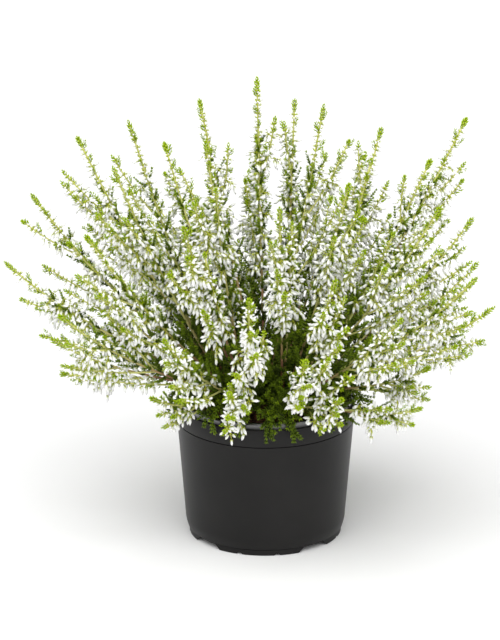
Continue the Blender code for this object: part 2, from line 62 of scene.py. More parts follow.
# Plan of the bush, the same values as in the solid model
SEED = 41
GAP = 0.0003
POT_HEIGHT = 0.0888
SOIL_LEVEL = 0.0835
CUTTINGS = 7
CUTTING_CIRCLE = 0.020
CROWN_HEIGHT = 0.0085
TRUNK_RADIUS = 0.0022
STEM_SHARE = 0.40
STEM_BOW_OUT = 0.30
STEM_BOW_UP = 0.34
UPRIGHT_SHARE = 0.24
SPRAY_COUNT = 48
SPRAY_SPACING = math.radians(16.0)
LEAN_LIMIT = math.radians(74.0)
BUSH_REACH = 0.203
LOW_REACH_LOSS = 0.85
REACH_RANGE = (0.86, 1.0)
TIP_TRIES = 400
TIP_STRIDE = 37
SIDE_SPRAY_LENGTH = 0.052
SIDE_SPRAY_LENGTHS = (0.85, 1.1)
SIDE_SPRAY_SHARES = (0.12, 0.30)
SIDE_SPRAY_ANGLE = math.radians(26.0)
SIDE_SPRAY_EVERY = 4
SPRAY_ROOM = 0.0135
SIDE_TRIES = 12
SIDE_PULL = 0.30
SIDE_FOLLOW = 0.60
SIDE_LIFT = 0.15
TWIG_LENGTH = 0.026
TWIG_ROOM = 0.0065
TWIG_ANGLE = math.radians(34.0)
TWIG_EVERY = 2
TWIG_SHARE = 0.62
SPRIG_AZIMUTHS = tuple(math.radians(azimuth) for azimuth in (-123, -105, -87, -75, -15, 60, 140))
SPRIG_SHIFTS = tuple(math.radians(shift) for shift in (0, 5, -5, 9, -9))
SPRIG_REACH = 0.0605
SPRIG_ARCH = 0.0130
SPRIG_DROP = 0.0070
# Azimuth and lean in degrees and reach in metres of the shoots that make the front outline
OUTLINE_SHOOTS = (
    (120, 3, 0.206), (170, 12, 0.197), (15, 11, 0.192), (-120, 21, 0.201),
    (176, 25, 0.198), (178, 34, 0.205), (-150, 32, 0.199), (174, 48, 0.194),
    (-179, 60, 0.184), (-172, 70, 0.142), (-142, 45, 0.192), (-144, 60, 0.176),
    (28, 26, 0.184), (-8, 32, 0.190), (9, 35, 0.216), (-34, 40, 0.195),
    (6, 48, 0.172), (-32, 54, 0.183), (-4, 65, 0.155), (-26, 70, 0.118),
    (-38, 79, 0.122), (24, 64, 0.162),
)


# Settings

def length_setting(name, description, default):
    return FloatProperty(name=name, description=description, default=default, unit="LENGTH")


def colour_setting(name, description, default):
    return FloatVectorProperty(
        name=name, description=description, default=default, subtype="COLOR", size=3,
    )


class PotSettings(bpy.types.PropertyGroup):
    rim_diameter: length_setting("Rim diameter", "Outer width of the band under the rim", 0.110)
    base_diameter: length_setting("Base diameter", "Outer width of the wall's foot", 0.0954)
    wall: length_setting("Wall", "Thickness of the moulded wall", 0.0012)
    band_height: length_setting("Band height", "Height of the plain band under the rim's roll", 0.0110)
    band_drop: length_setting("Band drop", "How far the band's top lies below the rim's top", 0.0040)
    foot_height: length_setting("Foot height", "Height of the four feet", 0.0038)
    segments: IntProperty(
        name="Segments", description="Steps round the pot", default=120, min=12,
    )
    colour: colour_setting("Plastic", "Colour of the black plastic", (0.0062, 0.0058, 0.0056))
    worn_colour: colour_setting(
        "Dusty plastic", "Colour of the plastic where dust lies on it", (0.0110, 0.0103, 0.0098),
    )


class SoilSettings(bpy.types.PropertyGroup):
    lump_height: length_setting("Lump height", "Height of the soil's lumps", 0.0016)
    crumbs: IntProperty(name="Crumbs", description="Loose crumbs on the soil", default=520, min=0)
    crumb_size: length_setting("Crumb size", "Radius of a middling crumb", 0.0011)
    dark_colour: colour_setting("Damp peat", "Colour of damp peat", (0.052, 0.020, 0.009))
    light_colour: colour_setting("Dry peat", "Colour of dry fibres", (0.250, 0.095, 0.042))


class StemSettings(bpy.types.PropertyGroup):
    foot_radius: length_setting("Foot radius", "Radius of a stem at its crown", 0.00085)
    tip_radius: length_setting("Tip radius", "Radius of a stem under its growing tip", 0.00055)
    bark_colour: colour_setting("Bark", "Colour of woody stems", (0.300, 0.135, 0.085))
    young_colour: colour_setting("Young stem", "Colour of this year's stems", (0.610, 0.610, 0.200))


class LeafSettings(bpy.types.PropertyGroup):
    length: length_setting("Leaf length", "Length of a scale leaf", 0.0025)
    pitch: length_setting("Whorl pitch", "Distance between whorls of leaves", 0.00175)
    twig_length: length_setting("Twig length", "Length of a middling leafy twig", 0.020)
    twig_pitch: length_setting("Twig pitch", "Distance between twigs along a stem", 0.0041)
    tip_length: length_setting("Growing tip", "Length of a shoot's growing tip", 0.0095)
    old_colour: colour_setting("Old leaf", "Colour of leaves deep in the bush", (0.036, 0.062, 0.0015))
    leaf_colour: colour_setting("Leaf", "Colour of grown leaves", (0.170, 0.260, 0.004))
    tip_colour: colour_setting("Fresh leaf", "Colour of growing tips", (0.370, 0.520, 0.002))
    bract_colour: colour_setting(
        "Bract", "Colour of the yellow-green bracts at the buds", (0.620, 0.650, 0.055),
    )


class FlowerSettings(bpy.types.PropertyGroup):
    bud_length: length_setting("Bud length", "Length of a full closed bud", 0.0047)
    bud_radius: length_setting("Bud radius", "Radius of a full closed bud", 0.00088)
    stalk_length: length_setting("Stalk length", "Length of a flower's stalk", 0.0017)
    pitch: length_setting("Node pitch", "Distance between the nodes that bear flowers", 0.0034)
    white_colour: colour_setting("White", "Colour of the closed buds", (0.930, 0.930, 0.925))
    base_colour: colour_setting("Bud base", "Colour of the buds at their base", (0.640, 0.720, 0.380))


class StudioSettings(bpy.types.PropertyGroup):
    floor_colour: colour_setting("Floor", "Colour of the studio floor", (0.93, 0.93, 0.93))
    camera_distance: length_setting("Camera distance", "From the lens to the middle of the bush", 3.0)
    camera_elevation: FloatProperty(
        name="Camera elevation", description="Angle of the view above the horizon",
        default=math.radians(19.3), subtype="ANGLE", unit="ROTATION",
    )
    camera_lens: FloatProperty(
        name="Lens", description="Focal length of the lens in millimetres", default=276.0,
    )
    aim: FloatVectorProperty(
        name="Aim", description="The point that the camera looks at",
        default=(-0.0095, 0.0, 0.1365), subtype="TRANSLATION", size=3,
    )


# Shapes

def turned(profile, segments):
    """Spin an outline of radius and height pairs, which starts and ends on the axis."""
    bm = bmesh.new()
    points = [bm.verts.new((radius, 0.0, height)) for radius, height in profile]
    edges = [bm.edges.new(pair) for pair in zip(points, points[1:])]
    bmesh.ops.spin(
        bm, geom=points + edges, cent=(0.0, 0.0, 0.0), axis=UP, angle=math.tau,
        steps=segments, use_merge=True,
    )
    bmesh.ops.remove_doubles(bm, verts=bm.verts, dist=0.000004)
    bmesh.ops.recalc_face_normals(bm, faces=bm.faces)
    return bm


def mark_growth(bm, length, age):
    """Note on every corner how far along the part it lies, and how old the part is."""
    layer = bm.loops.layers.uv.new("growth")
    for face in bm.faces:
        face.smooth = True
        for loop in face.loops:
            along = min(1.0, max(0.0, loop.vert.co.z / length))
            loop[layer].uv = (along, age)


def mesh_from(name, bm):
    """Turn a finished bmesh into a mesh and free it."""
    mesh = bpy.data.meshes.new(name)
    bm.to_mesh(mesh)
    bm.free()
    return mesh


def add_copy(target, small, matrix):
    """Add a placed copy of a small mesh to a larger one that is being built."""
    copy = small.copy()
    copy.transform(matrix)
    target.from_mesh(copy)
    bpy.data.meshes.remove(copy)


def move_into(target, bm):
    """Add a bmesh to a larger one that is being built, and free it."""
    mesh = mesh_from("part", bm)
    target.from_mesh(mesh)
    bpy.data.meshes.remove(mesh)


def new_piece(name, bm, material, replaced=()):
    """Make a finished piece of the object that rides with it."""
    mesh = mesh_from(name, bm)
    mesh.materials.append(material)
    piece = bpy.data.objects.new(name, mesh)
    bpy.context.scene.collection.objects.link(piece)
    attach(piece, BODY)
    if replaced:
        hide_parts(*replaced)
    return piece


def grown_mesh():
    """An empty mesh that keeps the growth marks of what is added to it."""
    bm = bmesh.new()
    bm.loops.layers.uv.new("growth")
    return bm


# Curves

def between(first, last, share):
    """The value that lies a share of the way from the first to the last."""
    return first + (last - first) * share


def curve(start, start_pull, end_pull, end, count=33):
    """Points on a cubic curve."""
    points = []
    for step in range(count):
        t = step / (count - 1)
        u = 1.0 - t
        points.append(
            start * u ** 3 + start_pull * (3 * u * u * t)
            + end_pull * (3 * u * t * t) + end * t ** 3
        )
    return points


def at_distance(points, distance):
    """The point and the direction at a distance along a line of points."""
    for first, second in zip(points, points[1:]):
        span = second - first
        if distance <= span.length:
            return first + span * (distance / span.length), span.normalized()
        distance -= span.length
    direction = (points[-1] - points[-2]).normalized()
    return points[-1] + direction * distance, direction


def line_length(points):
    return sum((second - first).length for first, second in zip(points, points[1:]))


def lowest(points):
    return min(point.z for point in points)


def part_of(points, start, end, count=17):
    """The stretch of a line between two distances."""
    step = (end - start) / (count - 1)
    return [at_distance(points, start + step * number)[0] for number in range(count)]


def frame_at(place, x, z):
    """A frame at a place, from its X and Z directions."""
    return Matrix.Translation(place) @ Matrix((x, z.cross(x), z)).transposed().to_4x4()


def frames_along(points, stations):
    """A frame at each station whose Z runs along the line and which does not spin about it."""
    frames = []
    side = None
    for station in stations:
        place, ahead = at_distance(points, station)
        if side is None:
            side = ahead.orthogonal()
        side = (side - ahead * side.dot(ahead)).normalized()
        frames.append(frame_at(place, side, ahead))
    return frames


def across(base, angle):
    """The direction square to a line at an angle round it, in a frame on that line."""
    return base.to_3x3() @ Vector((math.cos(angle), math.sin(angle), 0.0))


def clearance(points, others):
    """Smallest distance between a line's points and other lines' points."""
    tree = KDTree(sum(len(line) for line in others))
    for line in others:
        for point in line:
            tree.insert(point, 0)
    tree.balance()
    return min(tree.find(point)[2] for point in points)


# Plan of the bush

def direction_from(azimuth, lean):
    return Vector((
        math.sin(lean) * math.cos(azimuth),
        math.sin(lean) * math.sin(azimuth),
        math.cos(lean),
    ))


def dome_reach(lean):
    """How far shoots of a given lean reach: nearly level ones are shorter."""
    return BUSH_REACH * (1.0 - LOW_REACH_LOSS * (lean / LEVEL) ** 3)


def shoot_tips():
    """Tip positions: the outline's shoots first, then the rest spread evenly between them."""
    centre = UP * SOIL_LEVEL
    chosen = []
    for azimuth, lean, reach in OUTLINE_SHOOTS:
        chosen.append((direction_from(math.radians(azimuth), math.radians(lean)), reach))
    draw = random.Random(SEED)
    for number in range(TIP_TRIES):
        if len(chosen) == SPRAY_COUNT:
            break
        share = ((number * TIP_STRIDE) % TIP_TRIES + 0.5) / TIP_TRIES
        height = 1.0 - (1.0 - math.cos(LEAN_LIMIT)) * share
        lean = math.acos(height)
        heading = direction_from(number * GOLDEN_ANGLE, lean)
        if all(heading.angle(other) > SPRAY_SPACING for other, _ in chosen):
            chosen.append((heading, dome_reach(lean) * draw.uniform(*REACH_RANGE)))
    return [centre + heading * reach for heading, reach in chosen]


def cutting_places():
    """Where each rooted cutting stands: one in the middle and a ring round it."""
    places = [Vector((0.0, 0.0, 0.0))]
    for number in range(CUTTINGS - 1):
        angle = number * math.tau / (CUTTINGS - 1)
        places.append(Vector((math.cos(angle), math.sin(angle), 0.0)) * CUTTING_CIRCLE)
    return places


def nearest(direction, places):
    return max(range(len(places)), key=lambda number: places[number].dot(direction))


def cutting_towards(azimuth):
    """Number of the cutting that stands on this side of the pot."""
    return 1 + nearest(direction_from(azimuth, LEVEL), cutting_places()[1:])


def make_shoots(tips):
    """Each shoot's curve and the number of the cutting that it grows from."""
    places = cutting_places()
    shoots = []
    for tip in tips:
        flat = Vector((tip.x, tip.y, 0.0))
        upright = flat.length < UPRIGHT_SHARE * (tip.z - SOIL_LEVEL)
        cutting = 0 if upright else 1 + nearest(flat.normalized(), places[1:])
        crown = places[cutting] + UP * (SOIL_LEVEL + CROWN_HEIGHT - TRUNK_RADIUS)
        chord = tip - crown
        heading = chord.normalized()
        outward = flat.normalized() * flat.length / chord.length
        pull = chord.length / 3
        leave = (heading + outward * STEM_BOW_OUT).normalized()
        arrive = (heading + UP * STEM_BOW_UP * outward.length).normalized()
        shoots.append((cutting, curve(crown, crown + leave * pull, tip - arrive * pull, tip)))
    return shoots


def bent_line(start, leave, arrive, length, count, bend=0.5):
    """A line that leaves one way and bends to another past a share of its length."""
    knee = start + leave * length * bend
    end = knee + arrive * length * (1.0 - bend)
    return curve(start, start + leave * length * SIDE_PULL, knee, end, count)


def side_shoot(parent, share, turn, diverge, length):
    """A short curve that leaves its parent shoot and bends up alongside it."""
    start, ahead = at_distance(parent, line_length(parent) * share)
    side = (Matrix.Rotation(turn, 3, ahead) @ ahead.orthogonal()).normalized()
    leave = (ahead * math.cos(diverge) + side * math.sin(diverge)).normalized()
    arrive = (leave + ahead * SIDE_FOLLOW + UP * SIDE_LIFT).normalized()
    return bent_line(start, leave, arrive, length, 13)


def add_side_shoot(parent, others, share, diverge, length, room, draw):
    """Try turns round the parent until the side shoot stands clear of every other shoot."""
    first_turn = draw.uniform(0.0, math.tau)
    for number in range(SIDE_TRIES):
        made = side_shoot(parent, share, first_turn + number * GOLDEN_ANGLE, diverge, length)
        above = lowest(made) > SOIL_LEVEL + CROWN_HEIGHT + room / 2
        if above and clearance(made[2:], others) > room:
            return made
    return None


def plan_side_sprays(sprays):
    """The side sprays, each with the number of the spray that it forks from."""
    draw = random.Random(SEED + 1)
    taken = list(sprays)
    forks = {}
    for number, points in enumerate(sprays, start=1):
        if number % SIDE_SPRAY_EVERY:
            continue
        others = [line for line in taken if line is not points]
        length = SIDE_SPRAY_LENGTH * draw.uniform(*SIDE_SPRAY_LENGTHS)
        share = draw.uniform(*SIDE_SPRAY_SHARES)
        side = add_side_shoot(points, others, share, SIDE_SPRAY_ANGLE, length, SPRAY_ROOM, draw)
        if side:
            taken.append(side)
            forks[number] = side
    return forks, taken


def rim_sprig(azimuth, crown):
    """A leafy sprig that arches from its crown over the pot's rim and hangs down outside."""
    outward = direction_from(azimuth, LEVEL)
    over = outward * SPRIG_REACH + UP * (POT_HEIGHT + SPRIG_ARCH)
    end = outward * SPRIG_REACH + UP * (POT_HEIGHT - SPRIG_DROP)
    rise = crown.lerp(over, 0.5) + UP * SPRIG_ARCH / 2
    return curve(crown, rise, over, end, 17)


def plan_sprigs(cutting, crown, others):
    """The sprigs that this cutting hangs over the rim, each turned until it hangs clear."""
    lines = []
    for azimuth in SPRIG_AZIMUTHS:
        if cutting_towards(azimuth) != cutting:
            continue
        for shift in SPRIG_SHIFTS:
            line = rim_sprig(azimuth + shift, crown - UP * TRUNK_RADIUS)
            if clearance(line[6:], others) > TWIG_ROOM:
                lines.append(line)
                break
    return lines


def plan_leafy_shoots(stems, taken):
    """The rim sprigs and leafy twigs of every cutting, each clear of the lines before it."""
    grown = []
    for cutting, place in enumerate(cutting_places()):
        draw = random.Random(SEED + 10 + cutting)
        crown = place + UP * (SOIL_LEVEL + CROWN_HEIGHT)
        own = [stem for number, stem in stems if number == cutting]
        others = [line for line in taken if all(line is not stem for stem in own)]
        sprigs = plan_sprigs(cutting, crown, others)
        taken.extend(sprigs)
        twigs = []
        for stem in own[::TWIG_EVERY]:
            near = [line for line in taken if line is not stem]
            twig = add_side_shoot(stem, near, TWIG_SHARE, TWIG_ANGLE, TWIG_LENGTH, TWIG_ROOM, draw)
            if twig:
                taken.append(twig)
                twigs.append(twig)
        grown.append((sprigs, twigs))
    return grown


# Finer shoots between those of the solid model
FINE_SIDES = 3
FINE_SIDE_SHARES = (0.28, 0.74)
FINE_SIDE_REACH = (0.62, 0.88)
FINE_SIDE_LIMIT = 0.066
FINE_SIDE_ANGLE = math.radians(24.0)
FINE_TRIES = 7
FINE_SHOOTS = 32
FINE_SHOOT_LEANS = (math.radians(6.0), math.radians(66.0))
FINE_SHOOT_REACH = (0.62, 0.90)
FINE_SHOOT_TURN = 1.6


def fine_side(parent, others, draw, share):
    """A side spray between the others, turned to where it has the most room."""
    left = line_length(parent) * (1.0 - share)
    length = min(FINE_SIDE_LIMIT, left * draw.uniform(*FINE_SIDE_REACH))
    first_turn = draw.uniform(0.0, math.tau)
    tries = []
    for number in range(FINE_TRIES):
        turn = first_turn + number * GOLDEN_ANGLE
        made = side_shoot(parent, share, turn, FINE_SIDE_ANGLE, length)
        if lowest(made) > SOIL_LEVEL + CROWN_HEIGHT:
            tries.append((clearance(made[4:], others), number, made))
    return max(tries)[2] if tries else None


def fine_shoot_tips(draw):
    """Tips of the shorter shoots that fill the bush under the long ones."""
    centre = UP * SOIL_LEVEL
    tips = []
    for number in range(FINE_SHOOTS):
        lean = between(*FINE_SHOOT_LEANS, math.sqrt((number + 0.5) / FINE_SHOOTS))
        heading = direction_from(number * GOLDEN_ANGLE + FINE_SHOOT_TURN, lean)
        tips.append(centre + heading * dome_reach(lean) * draw.uniform(*FINE_SHOOT_REACH))
    return tips


def grow_bush():
    """The whole plan: for each cutting its shoots, side sprays, twigs and sprigs, as lines."""
    shoots = make_shoots(shoot_tips())
    sprays = []
    stems = []
    for cutting, points in shoots:
        length = line_length(points)
        sprays.append(part_of(points, length * STEM_SHARE, length))
        stems.append((cutting, part_of(points, 0.0, length * STEM_SHARE - GAP, 9)))
    forks, taken = plan_side_sprays(sprays)
    taken += [stem for _, stem in stems]
    leafy = plan_leafy_shoots(stems, taken)
    draw = random.Random(SEED + 100)
    short_shoots = make_shoots(fine_shoot_tips(draw))
    low, high = FINE_SIDE_SHARES
    bush = []
    for cutting in range(CUTTINGS):
        numbers = [n for n, (owner, _) in enumerate(shoots, start=1) if owner == cutting]
        sides = []
        for number in numbers:
            points = shoots[number - 1][1]
            if number in forks:
                sides.append(forks[number])
            for step in range(FINE_SIDES):
                share = low + (high - low) * (step + draw.random()) / FINE_SIDES
                side = fine_side(points, taken, draw, share)
                if side:
                    taken.append(side)
                    sides.append(side)
        sprigs, twigs = leafy[cutting]
        bush.append({
            "numbers": numbers,
            "shoots": [shoots[number - 1][1] for number in numbers]
            + [points for owner, points in short_shoots if owner == cutting],
            "sides": sides,
            "twigs": twigs,
            "sprigs": sprigs,
        })
    return bush


BUSH = grow_bush()


# Small meshes that are placed many times

def leaf_shape(length, width_share, thickness_share, sides):
    """A scale leaf along Z, pointed at both ends and a little flat."""
    width = length * width_share
    bm = turned(((0.0, 0.0), (width / 2, length * 0.45), (0.0, length)), sides)
    bmesh.ops.scale(bm, verts=bm.verts, vec=(length * thickness_share / width, 1.0, 1.0))
    return bm


def spike(length, radius):
    """A three-sided cone along Z, for a plain leaf, a bract or a stalk."""
    bm = bmesh.new()
    bmesh.ops.create_cone(
        bm, cap_ends=True, segments=3, radius1=radius, radius2=0.0, depth=length,
    )
    bmesh.ops.translate(bm, verts=bm.verts, vec=(0.0, 0.0, length / 2))
    return bm


def leaf_whorl(name, leaf, length, spread, count, age):
    """A ring of scale leaves that lean out from a stem along Z."""
    whorl = grown_mesh()
    mark_growth(leaf, length, age)
    leaf_mesh = mesh_from("leaf", leaf)
    for number in range(count):
        turn = Matrix.Rotation(number * math.tau / count, 4, "Z")
        lean = Matrix.Rotation(spread, 4, "Y")
        foot = Matrix.Translation((length * 0.10, 0.0, 0.0))
        add_copy(whorl, leaf_mesh, turn @ foot @ lean)
    bpy.data.meshes.remove(leaf_mesh)
    return mesh_from(name, whorl)


BUD_SIDES = 5
BUD_OUTLINE = ((0.0, 0.0), (0.82, 0.17), (1.0, 0.64), (0.0, 1.0))
BRACTS = 2
BRACT_SHARE = 0.36
BRACT_WIDTH = 0.48
BRACT_TURN = 0.5
BRACT_LEAN = math.radians(24.0)
BRACT_AGE = 0.70
STALK_AGE = 0.85


def closed_bud(length, radius, age):
    """A closed bud along Z: a slim base, a belly above the middle and a pointed end."""
    bm = turned([(r * radius, z * length) for r, z in BUD_OUTLINE], BUD_SIDES)
    mark_growth(bm, length, age)
    return bm


def pointing(direction):
    """The turn that points Z in a direction."""
    return direction.to_track_quat("Z", "Y").to_matrix().to_4x4()


def flower_unit(settings, size, droop, age):
    """One flower in two meshes: the white bud, and its green stalk and bracts."""
    length = settings.bud_length * size
    radius = settings.bud_radius * between(0.35, 1.0, size)
    stalk = settings.stalk_length * between(0.45, 1.0, size)
    heading = Vector((math.cos(droop), 0.0, -math.sin(droop)))
    foot = Vector((math.cos(droop / 2), 0.0, -math.sin(droop / 2))) * stalk
    place = Matrix.Translation(foot) @ pointing(heading)
    bud = closed_bud(length, radius, age)
    bmesh.ops.transform(bud, matrix=place, verts=bud.verts)
    green = grown_mesh()
    post = spike(stalk, radius * 0.5)
    mark_growth(post, stalk, STALK_AGE)
    bmesh.ops.transform(post, matrix=pointing(foot), verts=post.verts)
    move_into(green, post)
    bract_length = settings.bud_length * BRACT_SHARE * between(0.5, 1.0, size)
    bract = spike(bract_length, bract_length * BRACT_WIDTH / 2)
    mark_growth(bract, bract_length, BRACT_AGE)
    bract_mesh = mesh_from("bract", bract)
    for number in range(BRACTS):
        round_bud = Matrix.Rotation(number * math.tau / BRACTS + BRACT_TURN, 4, "Z")
        out = Matrix.Translation((radius * 0.45, 0.0, -bract_length * 0.12))
        lean = Matrix.Rotation(BRACT_LEAN, 4, "Y")
        add_copy(green, bract_mesh, place @ round_bud @ out @ lean)
    bpy.data.meshes.remove(bract_mesh)
    return mesh_from("bud", bud), mesh_from("bracts", green)


def stem_tube(target, line, first_radius, last_radius, sides, steps, ages):
    """Add a tapered stem along a line, marked with its share of the way and its age."""
    length = line_length(line)
    stations = [length * step / (steps - 1) for step in range(steps)]
    frames = frames_along(line, stations)
    radii = [first_radius + (last_radius - first_radius) * step / (steps - 1) for step in range(steps)]
    bm = bmesh.new()
    layer = bm.verts.layers.float.new("share")
    bmesh.ops.create_circle(bm, cap_ends=True, segments=sides, radius=radii[0])
    end = bm.faces[:][0]
    bmesh.ops.transform(bm, matrix=frames[0], verts=end.verts[:])
    bmesh.ops.reverse_faces(bm, faces=[end])
    first = bmesh.ops.extrude_face_region(bm, geom=[end], use_keep_orig=True)
    end = next(item for item in first["geom"] if isinstance(item, bmesh.types.BMFace))
    previous = 0
    for step in range(1, steps):
        if step > 1:
            end = bmesh.ops.extrude_discrete_faces(bm, faces=[end])["faces"][0]
        scale = Matrix.Diagonal((radii[step] / radii[previous],) * 2 + (1.0, 1.0))
        move = frames[step] @ scale @ frames[previous].inverted()
        bmesh.ops.transform(bm, matrix=move, verts=end.verts[:])
        for corner in end.verts:
            corner[layer] = step / (steps - 1)
        previous = step
    bmesh.ops.recalc_face_normals(bm, faces=bm.faces)
    growth = bm.loops.layers.uv.new("growth")
    for face in bm.faces:
        face.smooth = True
        for loop in face.loops:
            share = loop.vert[layer]
            loop[growth].uv = (share, between(*ages, share))
    bm.verts.layers.float.remove(layer)
    move_into(target, bm)


# Materials

def node(tree, kind, place, sockets=None, **values):
    """Add a node with its settings and the values of its free sockets."""
    made = tree.nodes.new(kind)
    made.location = place
    for key, value in values.items():
        setattr(made, key, value)
    set_sockets(made, sockets or {})
    return made


def set_sockets(made, sockets):
    for key, value in sockets.items():
        made.inputs[key].default_value = value


def set_ramp(ramp, stops):
    """Give a colour ramp its stops as pairs of position and colour."""
    elements = ramp.color_ramp.elements
    while len(elements) > 1:
        elements.remove(elements[-1])
    for number, (position, colour) in enumerate(stops):
        element = elements[0] if number == 0 else elements.new(position)
        element.position = position
        element.color = (*colour, 1.0)


def mottle_group():
    """Shared effect: a colour that is darkened and lightened in fine spots and soft patches."""
    group = bpy.data.node_groups.get("mottle")
    if group:
        return group
    group = bpy.data.node_groups.new("mottle", "ShaderNodeTree")
    for name, side, kind in (
        ("Colour", "INPUT", "NodeSocketColor"), ("Patch scale", "INPUT", "NodeSocketFloat"),
        ("Fine scale", "INPUT", "NodeSocketFloat"), ("Strength", "INPUT", "NodeSocketFloat"),
        ("Colour", "OUTPUT", "NodeSocketColor"), ("Height", "OUTPUT", "NodeSocketFloat"),
    ):
        group.interface.new_socket(name, in_out=side, socket_type=kind)
    inner = node(group, "NodeGroupInput", (-900, 0))
    place = node(group, "ShaderNodeTexCoord", (-900, -300))
    patch = node(group, "ShaderNodeTexNoise", (-650, 100))
    fine = node(group, "ShaderNodeTexNoise", (-650, -200), {"Detail": 4.0})
    both = node(group, "ShaderNodeMath", (-400, 0), operation="ADD")
    centre = node(group, "ShaderNodeMath", (-240, 0), {1: 1.0}, operation="SUBTRACT")
    weigh = node(group, "ShaderNodeMath", (-80, 0), operation="MULTIPLY")
    lift = node(group, "ShaderNodeMath", (80, 0), {1: 1.0}, operation="ADD")
    tint = node(group, "ShaderNodeVectorMath", (240, 0), operation="SCALE")
    outer = node(group, "NodeGroupOutput", (460, 0))
    link = group.links.new
    link(place.outputs["Object"], patch.inputs["Vector"])
    link(place.outputs["Object"], fine.inputs["Vector"])
    link(inner.outputs["Patch scale"], patch.inputs["Scale"])
    link(inner.outputs["Fine scale"], fine.inputs["Scale"])
    link(patch.outputs["Fac"], both.inputs[0])
    link(fine.outputs["Fac"], both.inputs[1])
    link(both.outputs[0], centre.inputs[0])
    link(centre.outputs[0], weigh.inputs[0])
    link(inner.outputs["Strength"], weigh.inputs[1])
    link(weigh.outputs[0], lift.inputs[0])
    link(inner.outputs["Colour"], tint.inputs[0])
    link(lift.outputs[0], tint.inputs["Scale"])
    link(tint.outputs[0], outer.inputs["Colour"])
    link(fine.outputs["Fac"], outer.inputs["Height"])
    return group


def finish_material(name, colour_socket_of, patch, fine, strength, roughness, bump, specular=0.5):
    """A material whose colour comes from a function and is mottled, with a fine bump."""
    material = bpy.data.materials.new(name)
    material.use_nodes = True
    tree = material.node_tree
    shader = tree.nodes["Principled BSDF"]
    mottle = node(
        tree, "ShaderNodeGroup", (-300, 200),
        {"Patch scale": patch, "Fine scale": fine, "Strength": strength},
        node_tree=mottle_group(),
    )
    raised = node(tree, "ShaderNodeBump", (-80, -250), {"Strength": 1.0, "Distance": bump})
    tree.links.new(colour_socket_of(tree), mottle.inputs["Colour"])
    tree.links.new(mottle.outputs["Colour"], shader.inputs["Base Color"])
    tree.links.new(mottle.outputs["Height"], raised.inputs["Height"])
    tree.links.new(raised.outputs["Normal"], shader.inputs["Normal"])
    set_sockets(shader, {"Roughness": roughness, "Specular IOR Level": specular})
    return material


def growth_ramp(tree, axis, stops, place=(-700, 200)):
    """A ramp that reads the growth marks: 0 is the share along a part, 1 is its age."""
    marks = node(tree, "ShaderNodeUVMap", (place[0] - 500, place[1]), uv_map="growth")
    split = node(tree, "ShaderNodeSeparateXYZ", (place[0] - 300, place[1]))
    ramp = node(tree, "ShaderNodeValToRGB", place)
    set_ramp(ramp, stops)
    tree.links.new(marks.outputs["UV"], split.inputs["Vector"])
    tree.links.new(split.outputs[axis], ramp.inputs["Fac"])
    return ramp.outputs["Color"]


def noise_ramp(tree, scale, detail, stops):
    """A ramp that reads a noise, which lies fixed in the piece."""
    place = node(tree, "ShaderNodeTexCoord", (-1200, 100))
    grains = node(tree, "ShaderNodeTexNoise", (-1000, 100), {"Scale": scale, "Detail": detail})
    ramp = node(tree, "ShaderNodeValToRGB", (-800, 100))
    set_ramp(ramp, stops)
    tree.links.new(place.outputs["Object"], grains.inputs["Vector"])
    tree.links.new(grains.outputs["Fac"], ramp.inputs["Fac"])
    return ramp.outputs["Color"]


def multiplied(tree, first, second):
    """One colour times another."""
    mix = node(
        tree, "ShaderNodeMix", (-480, 200), {"Factor": 1.0}, data_type="RGBA", blend_type="MULTIPLY",
    )
    tree.links.new(first, mix.inputs["A"])
    tree.links.new(second, mix.inputs["B"])
    return mix.outputs["Result"]


def bud_material(settings):
    """White buds, yellow-green at their base."""
    def colour(tree):
        base = tuple(settings.base_colour)
        white = tuple(settings.white_colour)
        cream = tuple(0.6 * w + 0.4 * b for w, b in zip(white, base))
        return growth_ramp(tree, 0, ((0.0, base), (0.22, cream), (0.42, white), (1.0, white)))
    return finish_material(
        "white_buds", colour, patch=90.0, fine=900.0, strength=0.16, roughness=0.55, bump=0.00006,
    )


def leaf_material(settings):
    """Scale leaves from dark old green to lime, lighter to their points."""
    def colour(tree):
        old = tuple(settings.old_colour)
        grown = tuple(settings.leaf_colour)
        tip = tuple(settings.tip_colour)
        bract = tuple(settings.bract_colour)
        age = growth_ramp(
            tree, 1, ((0.0, old), (0.35, grown), (0.55, tip), (0.70, bract), (0.85, bract)),
            (-900, 300),
        )
        along = growth_ramp(
            tree, 0, ((0.0, (0.50, 0.55, 0.50)), (0.6, (1.0, 1.0, 1.0)), (1.0, (1.25, 1.2, 1.1))),
            (-900, 0),
        )
        return multiplied(tree, age, along)
    return finish_material(
        "green_leaves", colour, patch=60.0, fine=700.0, strength=0.35, roughness=0.5,
        bump=0.00005, specular=0.25,
    )


def stem_material(settings):
    """Stems from pinkish brown bark to pale yellow-green, with fine spots."""
    def colour(tree):
        bark = tuple(settings.bark_colour)
        young = tuple(settings.young_colour)
        greening = tuple(0.5 * b + 0.5 * y for b, y in zip(bark, young))
        return growth_ramp(tree, 1, ((0.0, bark), (0.28, bark), (0.46, greening), (0.64, young)))
    return finish_material(
        "stem_bark", colour, patch=70.0, fine=1100.0, strength=0.45, roughness=0.6, bump=0.0001,
    )


PLASTIC_ROUGHNESS = 0.42
RIM_ROUGHNESS = 0.24
RIM_COAT = {"Coat Roughness": 0.18, "Coat IOR": 1.9}
RIM_SHINE_FROM = POT_HEIGHT - 0.0040
RIM_SHINE_TO = POT_HEIGHT - 0.0020


